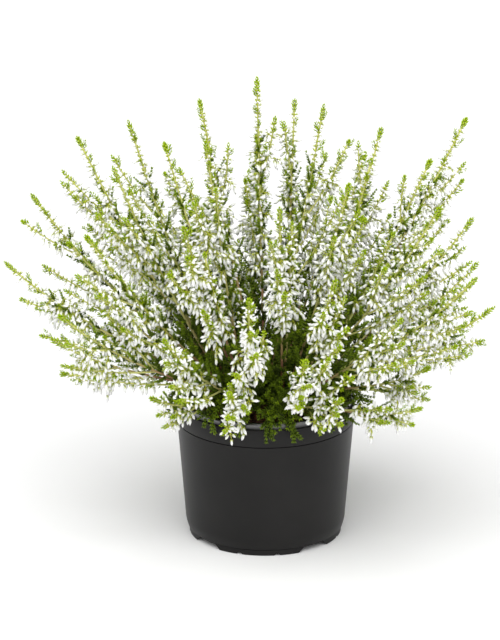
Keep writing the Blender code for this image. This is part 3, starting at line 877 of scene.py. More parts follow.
def plastic_material(settings):
    """Black moulded plastic with a faint veil of dust, dull on the wall and glossy on the rim."""
    def colour(tree):
        black = tuple(settings.colour)
        dusty = tuple(settings.worn_colour)
        return noise_ramp(tree, 26.0, 6.0, ((0.42, black), (0.85, dusty)))
    material = finish_material(
        "black_plastic", colour, patch=40.0, fine=2600.0, strength=0.12,
        roughness=PLASTIC_ROUGHNESS, bump=0.00002, specular=0.22,
    )
    tree = material.node_tree
    shader = tree.nodes["Principled BSDF"]
    set_sockets(shader, RIM_COAT)
    place = node(tree, "ShaderNodeTexCoord", (-900, -500))
    height = node(tree, "ShaderNodeSeparateXYZ", (-700, -500))
    tree.links.new(place.outputs["Object"], height.inputs["Vector"])
    for socket, on_wall, on_rim, row in (
        ("Roughness", PLASTIC_ROUGHNESS, RIM_ROUGHNESS, -500),
        ("Coat Weight", 0.0, 1.0, -800),
    ):
        blend = node(tree, "ShaderNodeMapRange", (-500, row), {
            "From Min": RIM_SHINE_FROM, "From Max": RIM_SHINE_TO, "To Min": on_wall, "To Max": on_rim,
        })
        tree.links.new(height.outputs["Z"], blend.inputs["Value"])
        tree.links.new(blend.outputs["Result"], shader.inputs[socket])
    return material


def peat_material(settings):
    """Damp brown peat with dry fibres."""
    def colour(tree):
        damp = tuple(settings.dark_colour)
        dry = tuple(settings.light_colour)
        return noise_ramp(tree, 420.0, 8.0, ((0.35, damp), (0.72, dry)))
    return finish_material(
        "damp_peat", colour, patch=120.0, fine=1500.0, strength=0.5, roughness=0.95, bump=0.0004,
    )


# Pot

BAND_STEP = 0.0006
BAND_EDGE = 0.0005
ROLL_RADIUS = 0.0013
GROOVE_DEPTH = 0.0006
# Heights of the groove's corners over the step under the band
GROOVE_HEIGHTS = (-0.0008, -0.0006, 0.0001)
SEAM_BELOW = 0.0001
SEAM_ABOVE = 0.0004
SEAM_REACH = 1.15
CORNER_STEPS = 6
CORNER_HEIGHT = 0.0080
CORNER_BULGE = 0.0008
FOOT_SET_IN = 0.0008
FOOT_COUNT = 4
FOOT_TURN = math.radians(-95.5)
FOOT_GAP_TOP = math.radians(18.0)
FOOT_GAP_BOTTOM = math.radians(28.0)
NOTCH_ANGLE = math.radians(14.5)
NOTCH_WIDTH = 0.0032
NOTCH_HEIGHT = 0.0013
CUT_DEPTH = 4
SHARP_FROM = math.radians(32.0)
SEAT_RADIUS = 0.020
DRAIN_COUNT = 5
DRAIN_RADIUS = 0.0040
DRAIN_CIRCLE = 0.034
DRAIN_CUT = 0.01


def arc(centre, radius, start, end, steps):
    """Points on an arc of an outline, in radius and height, with angles in degrees."""
    points = []
    for step in range(steps + 1):
        angle = math.radians(start + (end - start) * step / steps)
        points.append((centre[0] + radius * math.cos(angle), centre[1] + radius * math.sin(angle)))
    return points


def wall_radius(pot, height):
    """Outer radius of the tapered wall, from the corner to the step under the band."""
    base = pot.base_diameter / 2 + 2 * CORNER_BULGE
    top = pot.rim_diameter / 2 - BAND_STEP
    bottom_height = pot.foot_height + CORNER_HEIGHT
    top_height = POT_HEIGHT - pot.band_drop - pot.band_height
    share = (height - bottom_height) / (top_height - bottom_height)
    return between(base, top, share)


def inner_radius(pot, height):
    """Radius of the pot's inside: one straight taper from the band down to the corner."""
    corner = pot.foot_height + CORNER_HEIGHT
    band_top = POT_HEIGHT - pot.band_drop - pot.wall
    top = pot.rim_diameter / 2 - BAND_STEP - pot.wall
    bottom = pot.base_diameter / 2 + 2 * CORNER_BULGE - pot.wall
    return between(bottom, top, min(1.0, (height - corner) / (band_top - corner)))


def pot_outline(pot):
    """The pot's outline: underside, feet, rounded corner, wall, band, rolled rim and inside."""
    rim = pot.rim_diameter / 2
    base = pot.base_diameter / 2
    corner = pot.foot_height + CORNER_HEIGHT
    step = POT_HEIGHT - pot.band_drop - pot.band_height
    band_top = POT_HEIGHT - pot.band_drop
    foot = base - FOOT_SET_IN
    floor_top = pot.foot_height + pot.wall
    low, inner_low, high = (step + height for height in GROOVE_HEIGHTS)
    outline = [
        (0.0, 0.0),
        (SEAT_RADIUS, 0.0),
        (SEAT_RADIUS + pot.wall, pot.foot_height),
        (foot - pot.wall, pot.foot_height),
        (foot - pot.wall, 0.0),
        (foot - BAND_EDGE / 2, 0.0),
        (foot, BAND_EDGE / 2),
        (foot, pot.foot_height - BAND_EDGE / 2),
        (foot - GROOVE_DEPTH, pot.foot_height),
        (foot - GROOVE_DEPTH, pot.foot_height + GAP),
        (base, pot.foot_height + GAP),
    ]
    for number in range(1, CORNER_STEPS + 1):
        share = number / CORNER_STEPS
        bulge = math.sin(share * math.pi / 2)
        radius = between(base, wall_radius(pot, corner), bulge)
        outline.append((radius, pot.foot_height + GAP + (CORNER_HEIGHT - GAP) * share))
    outline += [
        (wall_radius(pot, step), low),
        (wall_radius(pot, step) - GROOVE_DEPTH, inner_low),
        (wall_radius(pot, step) - GROOVE_DEPTH, high),
        (rim - BAND_EDGE / 2, high),
        (rim, step + BAND_STEP),
    ]
    outline += arc((rim - BAND_EDGE, band_top - BAND_EDGE), BAND_EDGE, 0.0, 90.0, 4)
    outline += [
        (rim - pot.wall, band_top - SEAM_BELOW),
        (rim - pot.wall * SEAM_REACH, band_top + SEAM_ABOVE),
    ]
    centre = (rim - pot.wall - ROLL_RADIUS, POT_HEIGHT - ROLL_RADIUS)
    outline += arc(centre, ROLL_RADIUS, -20.0, 130.0, 8)
    outline += [
        (inner_radius(pot, band_top) - GROOVE_DEPTH, band_top + BAND_EDGE),
        (inner_radius(pot, band_top), band_top - pot.wall),
        (inner_radius(pot, corner), corner),
        (base - pot.wall, floor_top),
        (SEAT_RADIUS + pot.wall, floor_top),
        (SEAT_RADIUS - pot.wall, pot.wall),
        (0.0, pot.wall),
    ]
    return outline


def wedge_cutter(angle, radius, width_bottom, width_top, height, depth):
    """A block across the foot ring, wider below, that cuts a gap up from the ground."""
    bm = bmesh.new()
    bmesh.ops.create_cube(bm, size=1.0)
    for corner in bm.verts:
        top = corner.co.z > 0
        width = width_top if top else width_bottom
        corner.co = Vector((
            radius + depth * corner.co.x,
            width * corner.co.y,
            height if top else -height,
        ))
    bmesh.ops.rotate(bm, verts=bm.verts, cent=(0.0, 0.0, 0.0), matrix=Matrix.Rotation(angle, 3, "Z"))
    return bpy.data.objects.new("gap", mesh_from("gap", bm))


def foot_cutters(pot):
    """Cutters for the gaps between the feet and the small notches in each foot."""
    ring = pot.base_diameter / 2 - FOOT_SET_IN - pot.wall / 2
    slope = ring * (FOOT_GAP_BOTTOM - FOOT_GAP_TOP)
    pitch = math.tau / FOOT_COUNT
    made = []
    for number in range(FOOT_COUNT):
        middle = FOOT_TURN + number * pitch
        made.append(wedge_cutter(
            middle + pitch / 2, ring, ring * FOOT_GAP_TOP + 2 * slope, ring * FOOT_GAP_TOP,
            pot.foot_height - GAP, CUT_DEPTH * pot.wall,
        ))
        for side in (-1, 1):
            made.append(wedge_cutter(
                middle + side * NOTCH_ANGLE, ring, 2 * NOTCH_WIDTH, NOTCH_WIDTH / 2,
                NOTCH_HEIGHT, CUT_DEPTH * pot.wall,
            ))
    return made


def drain_cutters(pot):
    """Round cutters for the drainage holes in the raised ring of the floor."""
    made = []
    for number in range(DRAIN_COUNT):
        angle = (number + 0.5) * math.tau / DRAIN_COUNT
        bm = bmesh.new()
        bmesh.ops.create_cone(
            bm, cap_ends=True, segments=24, radius1=DRAIN_RADIUS, radius2=DRAIN_RADIUS,
            depth=DRAIN_CUT,
        )
        place = (DRAIN_CIRCLE * math.cos(angle), DRAIN_CIRCLE * math.sin(angle), pot.foot_height)
        bmesh.ops.translate(bm, verts=bm.verts, vec=place)
        made.append(bpy.data.objects.new("drain", mesh_from("drain", bm)))
    return made


def cut(piece, cutters):
    """Cut a group of shapes from a piece, and apply the cut."""
    group = bpy.data.collections.new("cutters")
    bpy.context.scene.collection.children.link(group)
    for shape in cutters:
        group.objects.link(shape)
    boolean = piece.modifiers.new("cut", "BOOLEAN")
    boolean.operation = "DIFFERENCE"
    boolean.operand_type = "COLLECTION"
    boolean.collection = group
    boolean.solver = "EXACT"
    graph = bpy.context.evaluated_depsgraph_get()
    done = bpy.data.meshes.new_from_object(piece.evaluated_get(graph))
    piece.modifiers.remove(boolean)
    piece.data = done
    for shape in cutters:
        bpy.data.objects.remove(shape, do_unlink=True)
    bpy.data.collections.remove(group)


class HEATHER_OT_pot(bpy.types.Operator):
    """Model the moulded black pot with its rolled rim, band, feet and drainage holes"""
    bl_idname = "heather.pot"
    bl_label = "Pot"

    def execute(self, context):
        pot = context.scene.heather_pot
        bm = turned(pot_outline(pot), pot.segments)
        piece = new_piece("moulded_pot", bm, plastic_material(pot), ("pot",))
        cut(piece, foot_cutters(pot) + drain_cutters(pot))
        piece.data.shade_smooth()
        piece.data.set_sharp_from_angle(angle=SHARP_FROM)
        return {"FINISHED"}


# Soil

SOIL_RINGS = 16
SOIL_STEPS = 72
SOIL_ROUGHNESS = 190.0
FINE_LUMPS = 2.7
LUMP_SHARE = 0.6
SOIL_SETTLING = 0.0006
SOIL_EDGE_DIP = 0.0016
CRUMB_SIZES = (0.5, 1.5)
CRUMB_WIDTHS = (0.5, 1.0)
CRUMB_HEIGHTS = (0.4, 0.8)
CRUMB_MARGIN = 0.002


def soil_height(soil, x, y):
    """Height of the soil's surface, lumpy at two scales."""
    spot = Vector((x, y, 0.0)) * SOIL_ROUGHNESS
    lumps = noise.noise(spot) + LUMP_SHARE * noise.noise(spot * FINE_LUMPS)
    return SOIL_LEVEL - SOIL_SETTLING + soil.lump_height * LUMP_SHARE * lumps


def soil_bed(pot, soil):
    """The body of soil in the pot with its lumpy top."""
    floor = pot.foot_height + pot.wall + GAP
    corner = pot.foot_height + CORNER_HEIGHT
    edge = inner_radius(pot, SOIL_LEVEL) - GAP
    outline = [
        (0.0, pot.wall + GAP),
        (SEAT_RADIUS - 2 * pot.wall, pot.wall + GAP),
        (SEAT_RADIUS, floor),
        (pot.base_diameter / 2 - pot.wall * 2, floor),
        (inner_radius(pot, corner) - GAP, corner),
        (edge, SOIL_LEVEL - SOIL_EDGE_DIP),
    ]
    outline += [(edge * (1.0 - ring / SOIL_RINGS), SOIL_LEVEL) for ring in range(1, SOIL_RINGS + 1)]
    bm = turned(outline, SOIL_STEPS)
    for point in bm.verts:
        if point.co.z > SOIL_LEVEL - 0.0001:
            point.co.z = soil_height(soil, point.co.x, point.co.y)
    for face in bm.faces:
        face.smooth = True
    return bm


def add_crumbs(bm, pot, soil):
    """Loose crumbs of peat on the surface."""
    draw = random.Random(SEED + 200)
    lump = bmesh.new()
    bmesh.ops.create_icosphere(lump, subdivisions=1, radius=1.0)
    crumb = mesh_from("crumb", lump)
    edge = inner_radius(pot, SOIL_LEVEL) - CRUMB_MARGIN
    for _ in range(soil.crumbs):
        reach = edge * math.sqrt(draw.random())
        angle = draw.uniform(0.0, math.tau)
        x = reach * math.cos(angle)
        y = reach * math.sin(angle)
        size = soil.crumb_size * draw.uniform(*CRUMB_SIZES)
        place = Matrix.Translation((x, y, soil_height(soil, x, y) + size * 0.1))
        angle = draw.uniform(0.0, math.tau)
        turn = Matrix.Rotation(angle, 4, Vector([draw.uniform(-1, 1) for _ in range(3)]))
        width = size * draw.uniform(*CRUMB_WIDTHS)
        height = size * draw.uniform(*CRUMB_HEIGHTS)
        shape = Matrix.Diagonal((size, width, height, 1.0))
        add_copy(bm, crumb, place @ turn @ shape)
    bpy.data.meshes.remove(crumb)


class HEATHER_OT_soil(bpy.types.Operator):
    """Fill the pot with lumpy peat and scatter crumbs on it"""
    bl_idname = "heather.soil"
    bl_label = "Soil"

    def execute(self, context):
        pot = context.scene.heather_pot
        soil = context.scene.heather_soil
        bm = soil_bed(pot, soil)
        add_crumbs(bm, pot, soil)
        new_piece("peat", bm, peat_material(soil), ("soil",))
        return {"FINISHED"}


# Stems

ROOT_DEPTH = 0.012
TRUNK_TAPER = (1.15, 0.8)
STEM_AGES = (0.1, 1.05)
STEM_RIPENESS = (-0.12, 0.22)
SIDE_STEM_TAPER = (1.2, 0.8)
SIDE_STEM_AGES = (0.55, 0.8)
STEM_IN_TIP = 0.4


def under_tip(line, leaf, count):
    """The stretch of a shoot that its stem fills, which ends inside the growing tip."""
    return part_of(line, 0.0, line_length(line) - leaf.tip_length * STEM_IN_TIP, count)


class HEATHER_OT_stems(bpy.types.Operator):
    """Grow the woody and young stems of every cutting"""
    bl_idname = "heather.stems"
    bl_label = "Stems"

    def execute(self, context):
        stem = context.scene.heather_stem
        leaf = context.scene.heather_leaf
        bark = stem_material(stem)
        draw = random.Random(SEED + 300)
        for number, (place, cutting) in enumerate(zip(cutting_places(), BUSH), start=1):
            bm = grown_mesh()
            root = place + UP * (SOIL_LEVEL - ROOT_DEPTH)
            crown = place + UP * (SOIL_LEVEL + CROWN_HEIGHT)
            foot, top = (TRUNK_RADIUS * share for share in TRUNK_TAPER)
            stem_tube(bm, [root, crown], foot, top, sides=9, steps=5, ages=(0.0, 0.0))
            for line in cutting["shoots"]:
                ripe = draw.uniform(*STEM_RIPENESS)
                ages = [age - ripe for age in STEM_AGES]
                way = under_tip(line, leaf, 33)
                stem_tube(bm, way, stem.foot_radius, stem.tip_radius, sides=6, steps=24, ages=ages)
            foot, top = (stem.tip_radius * share for share in SIDE_STEM_TAPER)
            for line in cutting["sides"]:
                ages = (draw.uniform(*SIDE_STEM_AGES), 1.0)
                stem_tube(bm, under_tip(line, leaf, 13), foot, top, sides=5, steps=10, ages=ages)
            new_piece(f"woody_stems_{number}", bm, bark, (f"leafy_stems_{number}",))
        return {"FINISHED"}


# Leaves

SPIKE_WIDTH = 0.52
WHORL_TURN = math.radians(45.0)
WHORL_SPREAD = math.radians(36.0)
WHORL_AGES = (0.02, 0.16, 0.32, 0.46)
WHORL_SIZES = (0.85, 1.12)
WHORL_TAPER = 0.35
WHORL_JITTER = 0.3
WHORL_TILT = 0.35
FRESHENING = 1.8


def leafy_line(target, whorls, line, start, end, size, draw, pitch, fresh):
    """Clothe a stretch of a line in whorls of leaves, smaller and fresher towards its end."""
    count = max(2, round((end - start) / pitch))
    stations = [start + (end - start) * (step + 0.3) / count for step in range(count)]
    for step, base in enumerate(frames_along(line, stations)):
        share = step / (count - 1)
        grow = size * (1.0 - WHORL_TAPER * share) * draw.uniform(*WHORL_SIZES)
        angle = step * WHORL_TURN + draw.uniform(-WHORL_JITTER, WHORL_JITTER)
        tilt = Matrix.Rotation(draw.uniform(-WHORL_TILT, WHORL_TILT), 4, "X")
        level = int(fresh * len(whorls) + share * FRESHENING + draw.uniform(-0.3, 0.3))
        whorl = whorls[max(0, min(len(whorls) - 1, level))]
        turn = Matrix.Rotation(angle, 4, "Z")
        add_copy(target, whorl, base @ turn @ tilt @ Matrix.Scale(grow, 4))


TIP_LEAF_LENGTH = 0.0032
TIP_SPREAD = math.radians(38.0)
TIP_AGE = 0.53
TIP_SIZES = (0.72, 0.90, 1.0, 1.04, 1.0, 0.90, 0.68)
SIDE_TIP_SIZES = (0.74, 0.92, 0.90, 0.64)
SIDE_TIP_SHARE = 0.58
TIP_STRETCH = (0.90, 1.45)
TIP_PLUMPNESS = (0.88, 1.08)
TIP_CLOSING = 0.45
TIP_OVERHANG = 0.0005


def growing_tip(target, whorl, line, end, length, sizes, draw):
    """The blunt lime-green end of a shoot: short whorls that overlap like scales."""
    count = len(sizes)
    leaf_reach = TIP_LEAF_LENGTH * sizes[-1]
    start = end - length
    stations = [start + (length - leaf_reach) * step / (count - 1) for step in range(count)]
    plump = draw.uniform(*TIP_PLUMPNESS)
    turn = draw.uniform(0.0, math.tau)
    for step, base in enumerate(frames_along(line, stations)):
        round_stem = Matrix.Rotation(turn + step * WHORL_TURN, 4, "Z")
        shut = 1.0 - TIP_CLOSING * max(0, step - count + 3) / 2
        width = sizes[step] * plump * shut
        add_copy(target, whorl, base @ round_stem @ Matrix.Diagonal((width, width, sizes[step], 1.0)))


TWIG_STRETCH = (0.08, 0.80)
TWIG_REACH = (0.55, 1.15)
TWIG_RADII = (0.00040, 0.00025)
TWIG_AGES = (0.2, 0.3)
BARE_FOOT = 0.0015
SOIL_CLEAR = 0.003
TWIG_LEAN = (math.radians(30.0), math.radians(52.0))


def twig_line(base, outward, length, lean):
    """A short twig that leaves its stem at an angle and bends up."""
    ahead = base.col[2].xyz
    leave = (ahead * math.cos(lean) + outward * math.sin(lean)).normalized()
    arrive = (leave + ahead * 0.5 + UP * 0.35).normalized()
    return bent_line(base.translation, leave, arrive, length, 7)


def dress_with_twigs(bm, whorls, line, leaf, draw):
    """Leafy twigs along most of a shoot, shorter and fresher as they climb."""
    length = line_length(line)
    start = length * TWIG_STRETCH[0]
    end = length * TWIG_STRETCH[1]
    count = round((end - start) / leaf.twig_pitch)
    stations = [start + (end - start) * step / count for step in range(count)]
    for step, base in enumerate(frames_along(line, stations)):
        share = step / count
        outward = across(base, step * GOLDEN_ANGLE + draw.uniform(-0.4, 0.4))
        reach = leaf.twig_length * draw.uniform(*TWIG_REACH) * (1.1 - 0.5 * share)
        made = twig_line(base, outward, reach, draw.uniform(*TWIG_LEAN))
        if lowest(made) < SOIL_LEVEL + SOIL_CLEAR:
            continue
        fresh = 0.05 + 0.45 * share + draw.uniform(-0.1, 0.15)
        stem_tube(bm, made, *TWIG_RADII, sides=3, steps=4, ages=TWIG_AGES)
        leafy_line(bm, whorls, made, BARE_FOOT, line_length(made), 1.0, draw, leaf.pitch, fresh)


CORE_TWIGS = 26
CORE_TWIG_LEANS = (0.12, 1.30)
CORE_TWIG_LENGTHS = (0.028, 0.066)
CORE_TWIG_RADII = (0.0006, 0.00035)
DEEP_PITCH = 0.0021
DEEP_LEAF_SIZE = 1.4


def dress_crown(bm, whorls, place, draw):
    """Dense dark leafy twigs from a crown, which fan out and up between the stems."""
    outward = place.normalized()
    crown = place + UP * (SOIL_LEVEL + CROWN_HEIGHT * 0.6)
    for number in range(CORE_TWIGS):
        lean = between(*CORE_TWIG_LEANS, math.sqrt((number + 0.5) / CORE_TWIGS))
        heading = (direction_from(number * GOLDEN_ANGLE, lean) + outward * 0.5).normalized()
        length = draw.uniform(*CORE_TWIG_LENGTHS)
        line = bent_line(crown, heading, (heading + UP * 0.5).normalized(), length, 9, 0.6)
        if lowest(line) < SOIL_LEVEL + SOIL_CLEAR:
            continue
        stem_tube(bm, line, *CORE_TWIG_RADII, sides=3, steps=4, ages=TWIG_AGES)
        fresh = draw.uniform(-0.1, 0.25)
        leafy_line(bm, whorls, line, length * 0.15, length, DEEP_LEAF_SIZE, draw, DEEP_PITCH, fresh)


BRANCH_RADII = (0.0005, 0.0003)
BRANCHED_PART = (0.30, 0.65)
SIDE_TWIG_PITCH = 0.0036
SIDE_TWIG_LENGTHS = (0.0040, 0.0095)
SIDE_TWIG_LEAN = (0.6, 0.95)
SIDE_LEAF_SIZE = 1.25


def leafy_branch(bm, whorls, line, draw, fresh):
    """A leafy twig that bears short leafy twigs of its own along its outer part."""
    length = line_length(line)
    stem_tube(bm, line, *BRANCH_RADII, sides=3, steps=7, ages=TWIG_AGES)
    leafy_line(bm, whorls, line, length * 0.12, length, DEEP_LEAF_SIZE, draw, DEEP_PITCH, fresh)
    foot, stretch = BRANCHED_PART
    count = round(length * stretch / SIDE_TWIG_PITCH)
    stations = [length * (foot + stretch * step / count) for step in range(count)]
    for step, base in enumerate(frames_along(line, stations)):
        outward = across(base, step * GOLDEN_ANGLE + draw.uniform(-0.5, 0.5))
        reach = draw.uniform(*SIDE_TWIG_LENGTHS)
        side = twig_line(base, outward, reach, draw.uniform(*SIDE_TWIG_LEAN))
        leafy_line(bm, whorls, side, 0.0010, reach, SIDE_LEAF_SIZE, draw, DEEP_PITCH, fresh + 0.15)


LOW_TWIGS = 118
LOW_TWIG_REACH = (0.032, 0.0645)
LOW_TWIG_ARCH = (0.006, 0.014)
LOW_TWIG_DROP = (0.001, 0.010)
LOW_TWIG_LIFT = 0.0035
LOW_TWIG_RISE = 0.004
LOW_TWIG_FRESH = 0.05
SPRIG_FRESH = 0.25
RIM_CLEAR = 0.0580


def low_twig(azimuth, draw):
    """A twig that lies low over the soil, or hangs over the rim where it reaches past it."""
    outward = direction_from(azimuth, LEVEL)
    place = cutting_places()[cutting_towards(azimuth)]
    crown = place + UP * (SOIL_LEVEL + CROWN_HEIGHT * 0.7)
    reach = draw.uniform(*LOW_TWIG_REACH)
    drop = draw.uniform(*LOW_TWIG_DROP) if reach > RIM_CLEAR else -LOW_TWIG_LIFT
    over = outward * reach * 0.96 + UP * (POT_HEIGHT + draw.uniform(*LOW_TWIG_ARCH))
    end = outward * reach + UP * (POT_HEIGHT - drop)
    rise = crown.lerp(over, 0.5) + UP * LOW_TWIG_RISE
    return curve(crown, rise, over, end, 11)


def twigs_of(number, whorls, leaf, draw):
    """All leafy twigs of one cutting."""
    place = cutting_places()[number - 1]
    cutting = BUSH[number - 1]
    bm = grown_mesh()
    dress_crown(bm, whorls, place, draw)
    for line in cutting["shoots"]:
        dress_with_twigs(bm, whorls, line, leaf, draw)
    for line in cutting["twigs"] + cutting["sprigs"]:
        leafy_branch(bm, whorls, line, draw, SPRIG_FRESH)
    for step in range(LOW_TWIGS):
        azimuth = step * GOLDEN_ANGLE
        if cutting_towards(azimuth) == number - 1:
            leafy_branch(bm, whorls, low_twig(azimuth, draw), draw, LOW_TWIG_FRESH)
    return bm


def tips_of(number, lime, leaf, draw):
    """All growing tips of one cutting: full ones on its long shoots and short ones elsewhere."""
    cutting = BUSH[number - 1]
    bm = grown_mesh()
    for order, line in enumerate(cutting["shoots"] + cutting["sides"]):
        sizes = TIP_SIZES
        length = leaf.tip_length * draw.uniform(*TIP_STRETCH)
        if order >= len(cutting["numbers"]):
            sizes = SIDE_TIP_SIZES
            length *= SIDE_TIP_SHARE
        growing_tip(bm, lime, line, line_length(line) + TIP_OVERHANG, length, sizes, draw)
    return bm


class HEATHER_OT_leaves(bpy.types.Operator):
    """Clothe the stems in leafy twigs, hang the rim sprigs and set the lime growing tips"""
    bl_idname = "heather.leaves"
    bl_label = "Leaves and growing tips"

    def execute(self, context):
        leaf = context.scene.heather_leaf
        green = leaf_material(leaf)
        draw = random.Random(SEED + 400)
        spikes = [spike(leaf.length, leaf.length * SPIKE_WIDTH / 2) for _ in WHORL_AGES]
        whorls = [
            leaf_whorl("whorl", leaf_spike, leaf.length, WHORL_SPREAD, 4, age)
            for leaf_spike, age in zip(spikes, WHORL_AGES)
        ]
        scale = leaf_shape(TIP_LEAF_LENGTH, 0.50, 0.28, 4)
        lime = leaf_whorl("lime_whorl", scale, TIP_LEAF_LENGTH, TIP_SPREAD, 4, TIP_AGE)
        for number in range(1, CUTTINGS + 1):
            twigs = twigs_of(number, whorls, leaf, draw)
            new_piece(f"leafy_twigs_{number}", twigs, green)
            tips = tips_of(number, lime, leaf, draw)
            new_piece(f"growing_tips_{number}", tips, green)
        for mesh in whorls + [lime]:
            bpy.data.meshes.remove(mesh)
        return {"FINISHED"}


# Flowers

def flower_frame(place, outward, size):
    """A frame at a flower's foot with X outward and Z as near to upright as it can be."""
    x = outward.normalized()
    z = UP - x * UP.dot(x)
    if z.length < 0.2:
        z = x.orthogonal()
    z.normalize()
    return frame_at(place, x, z) @ Matrix.Scale(size, 4)


# Size, droop and age of each stage, from full hanging buds to the small ones near a tip
FLOWER_STAGES = (
    (1.06, math.radians(58.0), 0.0),
    (1.0, math.radians(34.0), 0.1),
    (0.90, math.radians(18.0), 0.35),
    (0.68, math.radians(6.0), 0.75),
)
STAGE_RISE = 4.2
STAGE_MIX = 0.7
FLOWER_SIZES = (0.86, 1.12)
# Leaf size, spread, leaf count and age of the tufts low and high on a raceme
TUFTS = ((1.15, 0.85, 3, 0.44), (1.1, 0.80, 4, 0.62))
COLUMN_LEAF_SIZE = 1.15
COLUMN_AGES = (0.42, 0.50, 0.54)


class Flowers:
    """Small meshes of flowers and the leaves among them, and the pieces that take their copies."""

    def __init__(self, flower, leaf):
        self.pitch = flower.pitch
        self.units = [flower_unit(flower, *stage) for stage in FLOWER_STAGES]
        self.tufts = []
        for size, spread, count, age in TUFTS:
            length = leaf.length * size
            scale = leaf_shape(length, 0.5, 0.3, 3)
            self.tufts.append(leaf_whorl("tuft", scale, length, spread, count, age))
        self.whorls = []
        for age in COLUMN_AGES:
            length = leaf.length * COLUMN_LEAF_SIZE
            scale = leaf_shape(length, 0.48, 0.28, 3)
            self.whorls.append(leaf_whorl("whorl", scale, length, WHORL_SPREAD, 3, age))

    def start_pieces(self):
        self.buds = grown_mesh()
        self.greens = grown_mesh()

    def add(self, place, outward, share, draw):
        """Place one flower; share is 0 low on the raceme and 1 at its tip."""
        stage = int(share * STAGE_RISE + draw.uniform(-STAGE_MIX, STAGE_MIX))
        bud, green = self.units[min(len(FLOWER_STAGES) - 1, max(0, stage))]
        matrix = flower_frame(place, outward, draw.uniform(*FLOWER_SIZES))
        add_copy(self.buds, bud, matrix)
        add_copy(self.greens, green, matrix)

    def free(self):
        for mesh in [part for unit in self.units for part in unit] + self.tufts + self.whorls:
            bpy.data.meshes.remove(mesh)


SHADE_HEIGHT = 0.085
SHADE_RADIUS = 0.108
SHADE_LOSS = 1.5


def shade_share(place):
    """How deep in the shaded foot of the bush a place lies: 1 at its middle and 0 outside."""
    rise = (place.z - SOIL_LEVEL) / SHADE_HEIGHT
    out = math.hypot(place.x, place.y) / SHADE_RADIUS
    return max(0.0, 1.0 - math.hypot(rise, out))


BRANCHLET_LENGTH = 0.0035
BRANCHLET_GROWTH = 0.0062
BRANCHLET_CLIMB = 0.45
BRANCHLET_DROP = 0.28
BRANCHLET_ARCH = 0.0006
BRANCHLET_RADII = (0.00032, 0.00022)
BRANCHLET_PITCH = 0.0031
BRANCHLET_TURN = 1.9


def branchlet(flowers, base, outward, share, draw):
    """A short side branch that bears a few flowers and hangs a little."""
    place = base.translation
    length = (BRANCHLET_LENGTH + BRANCHLET_GROWTH * (1.0 - share)) * draw.uniform(0.75, 1.1)
    leave = (outward + base.col[2].xyz * BRANCHLET_CLIMB).normalized()
    end = place + leave * length * 0.85 - UP * length * BRANCHLET_DROP
    hang = end.lerp(place, 0.3) + UP * BRANCHLET_ARCH
    line = curve(place, place + leave * length * 0.4, hang, end, 5)
    ages = (STALK_AGE, STALK_AGE)
    stem_tube(flowers.greens, line, *BRANCHLET_RADII, sides=3, steps=3, ages=ages)
    spots = max(1, round(length / BRANCHLET_PITCH))
    turn = draw.uniform(0.0, math.tau)
    for spot in range(spots):
        foot, forward = at_distance(line, length * 0.8 * (spot + 0.7) / spots)
        square = Matrix.Rotation(turn + spot * BRANCHLET_TURN, 3, forward) @ forward.orthogonal()
        for side in (-1, 1):
            flowers.add(foot, square * side + forward * 0.5, share, draw)
    flowers.add(line[-1], (line[-1] - line[-2]).normalized() + leave * 0.4, share, draw)


COLUMN_EVERY = 10
COLUMN_LENGTHS = (0.0055, 0.0095)
COLUMN_LEAN = math.radians(38.0)
COLUMN_PITCH = 0.0012
COLUMN_FRESH = 0.75


def leafy_column(flowers, base, outward, draw):
    """A short upright shoot of fresh scale leaves among the flowers."""
    length = draw.uniform(*COLUMN_LENGTHS)
    line = twig_line(base, outward, length, COLUMN_LEAN)
    leafy_line(
        flowers.greens, flowers.whorls, line, COLUMN_PITCH, length, draw.uniform(0.85, 1.1), draw,
        COLUMN_PITCH, COLUMN_FRESH,
    )


RACEME_STARTS = (0.34, 0.45)
LEANING_START = 0.25
SIDE_RACEME_START = 0.27
RACEME_FULLNESS = 0.44
SIDE_RACEME_FULLNESS = 0.22
FULLNESS_LOSS = 1.35
CROWDING = 0.25
NODE_TURN = math.radians(58.0)
NODE_FLOWERS = 3
BARE_SHARE = 0.25
UPPER_TUFTS = 0.55
TUFT_SIZES = (0.70, 1.10)


def raceme(flowers, line, start, end, fullness, draw):
    """Flowers along a shoot: branchlets low down, then single flowers, smaller to the tip."""
    count = max(3, round((end - start) / flowers.pitch))
    stations = []
    for step in range(count):
        share = (step + draw.uniform(0.3, 0.7)) / count
        stations.append(start + (end - start) * share * (1.0 + CROWDING * (1.0 - share)))
    turn = draw.uniform(0.0, math.tau)
    next_column = draw.randint(0, COLUMN_EVERY)
    for step, base in enumerate(frames_along(line, stations)):
        share = step / count
        turn += NODE_TURN
        ahead = base.col[2].xyz
        place = base.translation
        tuft = flowers.tufts[0 if share < UPPER_TUFTS else 1]
        tuft_size = Matrix.Scale(draw.uniform(*TUFT_SIZES), 4)
        add_copy(flowers.greens, tuft, base @ Matrix.Rotation(turn, 4, "Z") @ tuft_size)
        for order in range(NODE_FLOWERS):
            outward = across(base, turn + order * math.tau / NODE_FLOWERS + draw.uniform(-0.3, 0.3))
            rise = draw.uniform(-0.1, 0.35) + 0.35 * share
            if draw.random() < SHADE_LOSS * shade_share(place):
                continue
            if next_column == 0:
                next_column = COLUMN_EVERY + draw.randint(-3, 3)
                leafy_column(flowers, base, outward, draw)
            elif draw.random() < fullness * (1.0 - FULLNESS_LOSS * share):
                branchlet(flowers, base, outward, share, draw)
            elif draw.random() > BARE_SHARE * share:
                flowers.add(place, outward + ahead * rise, share, draw)
            next_column -= 1


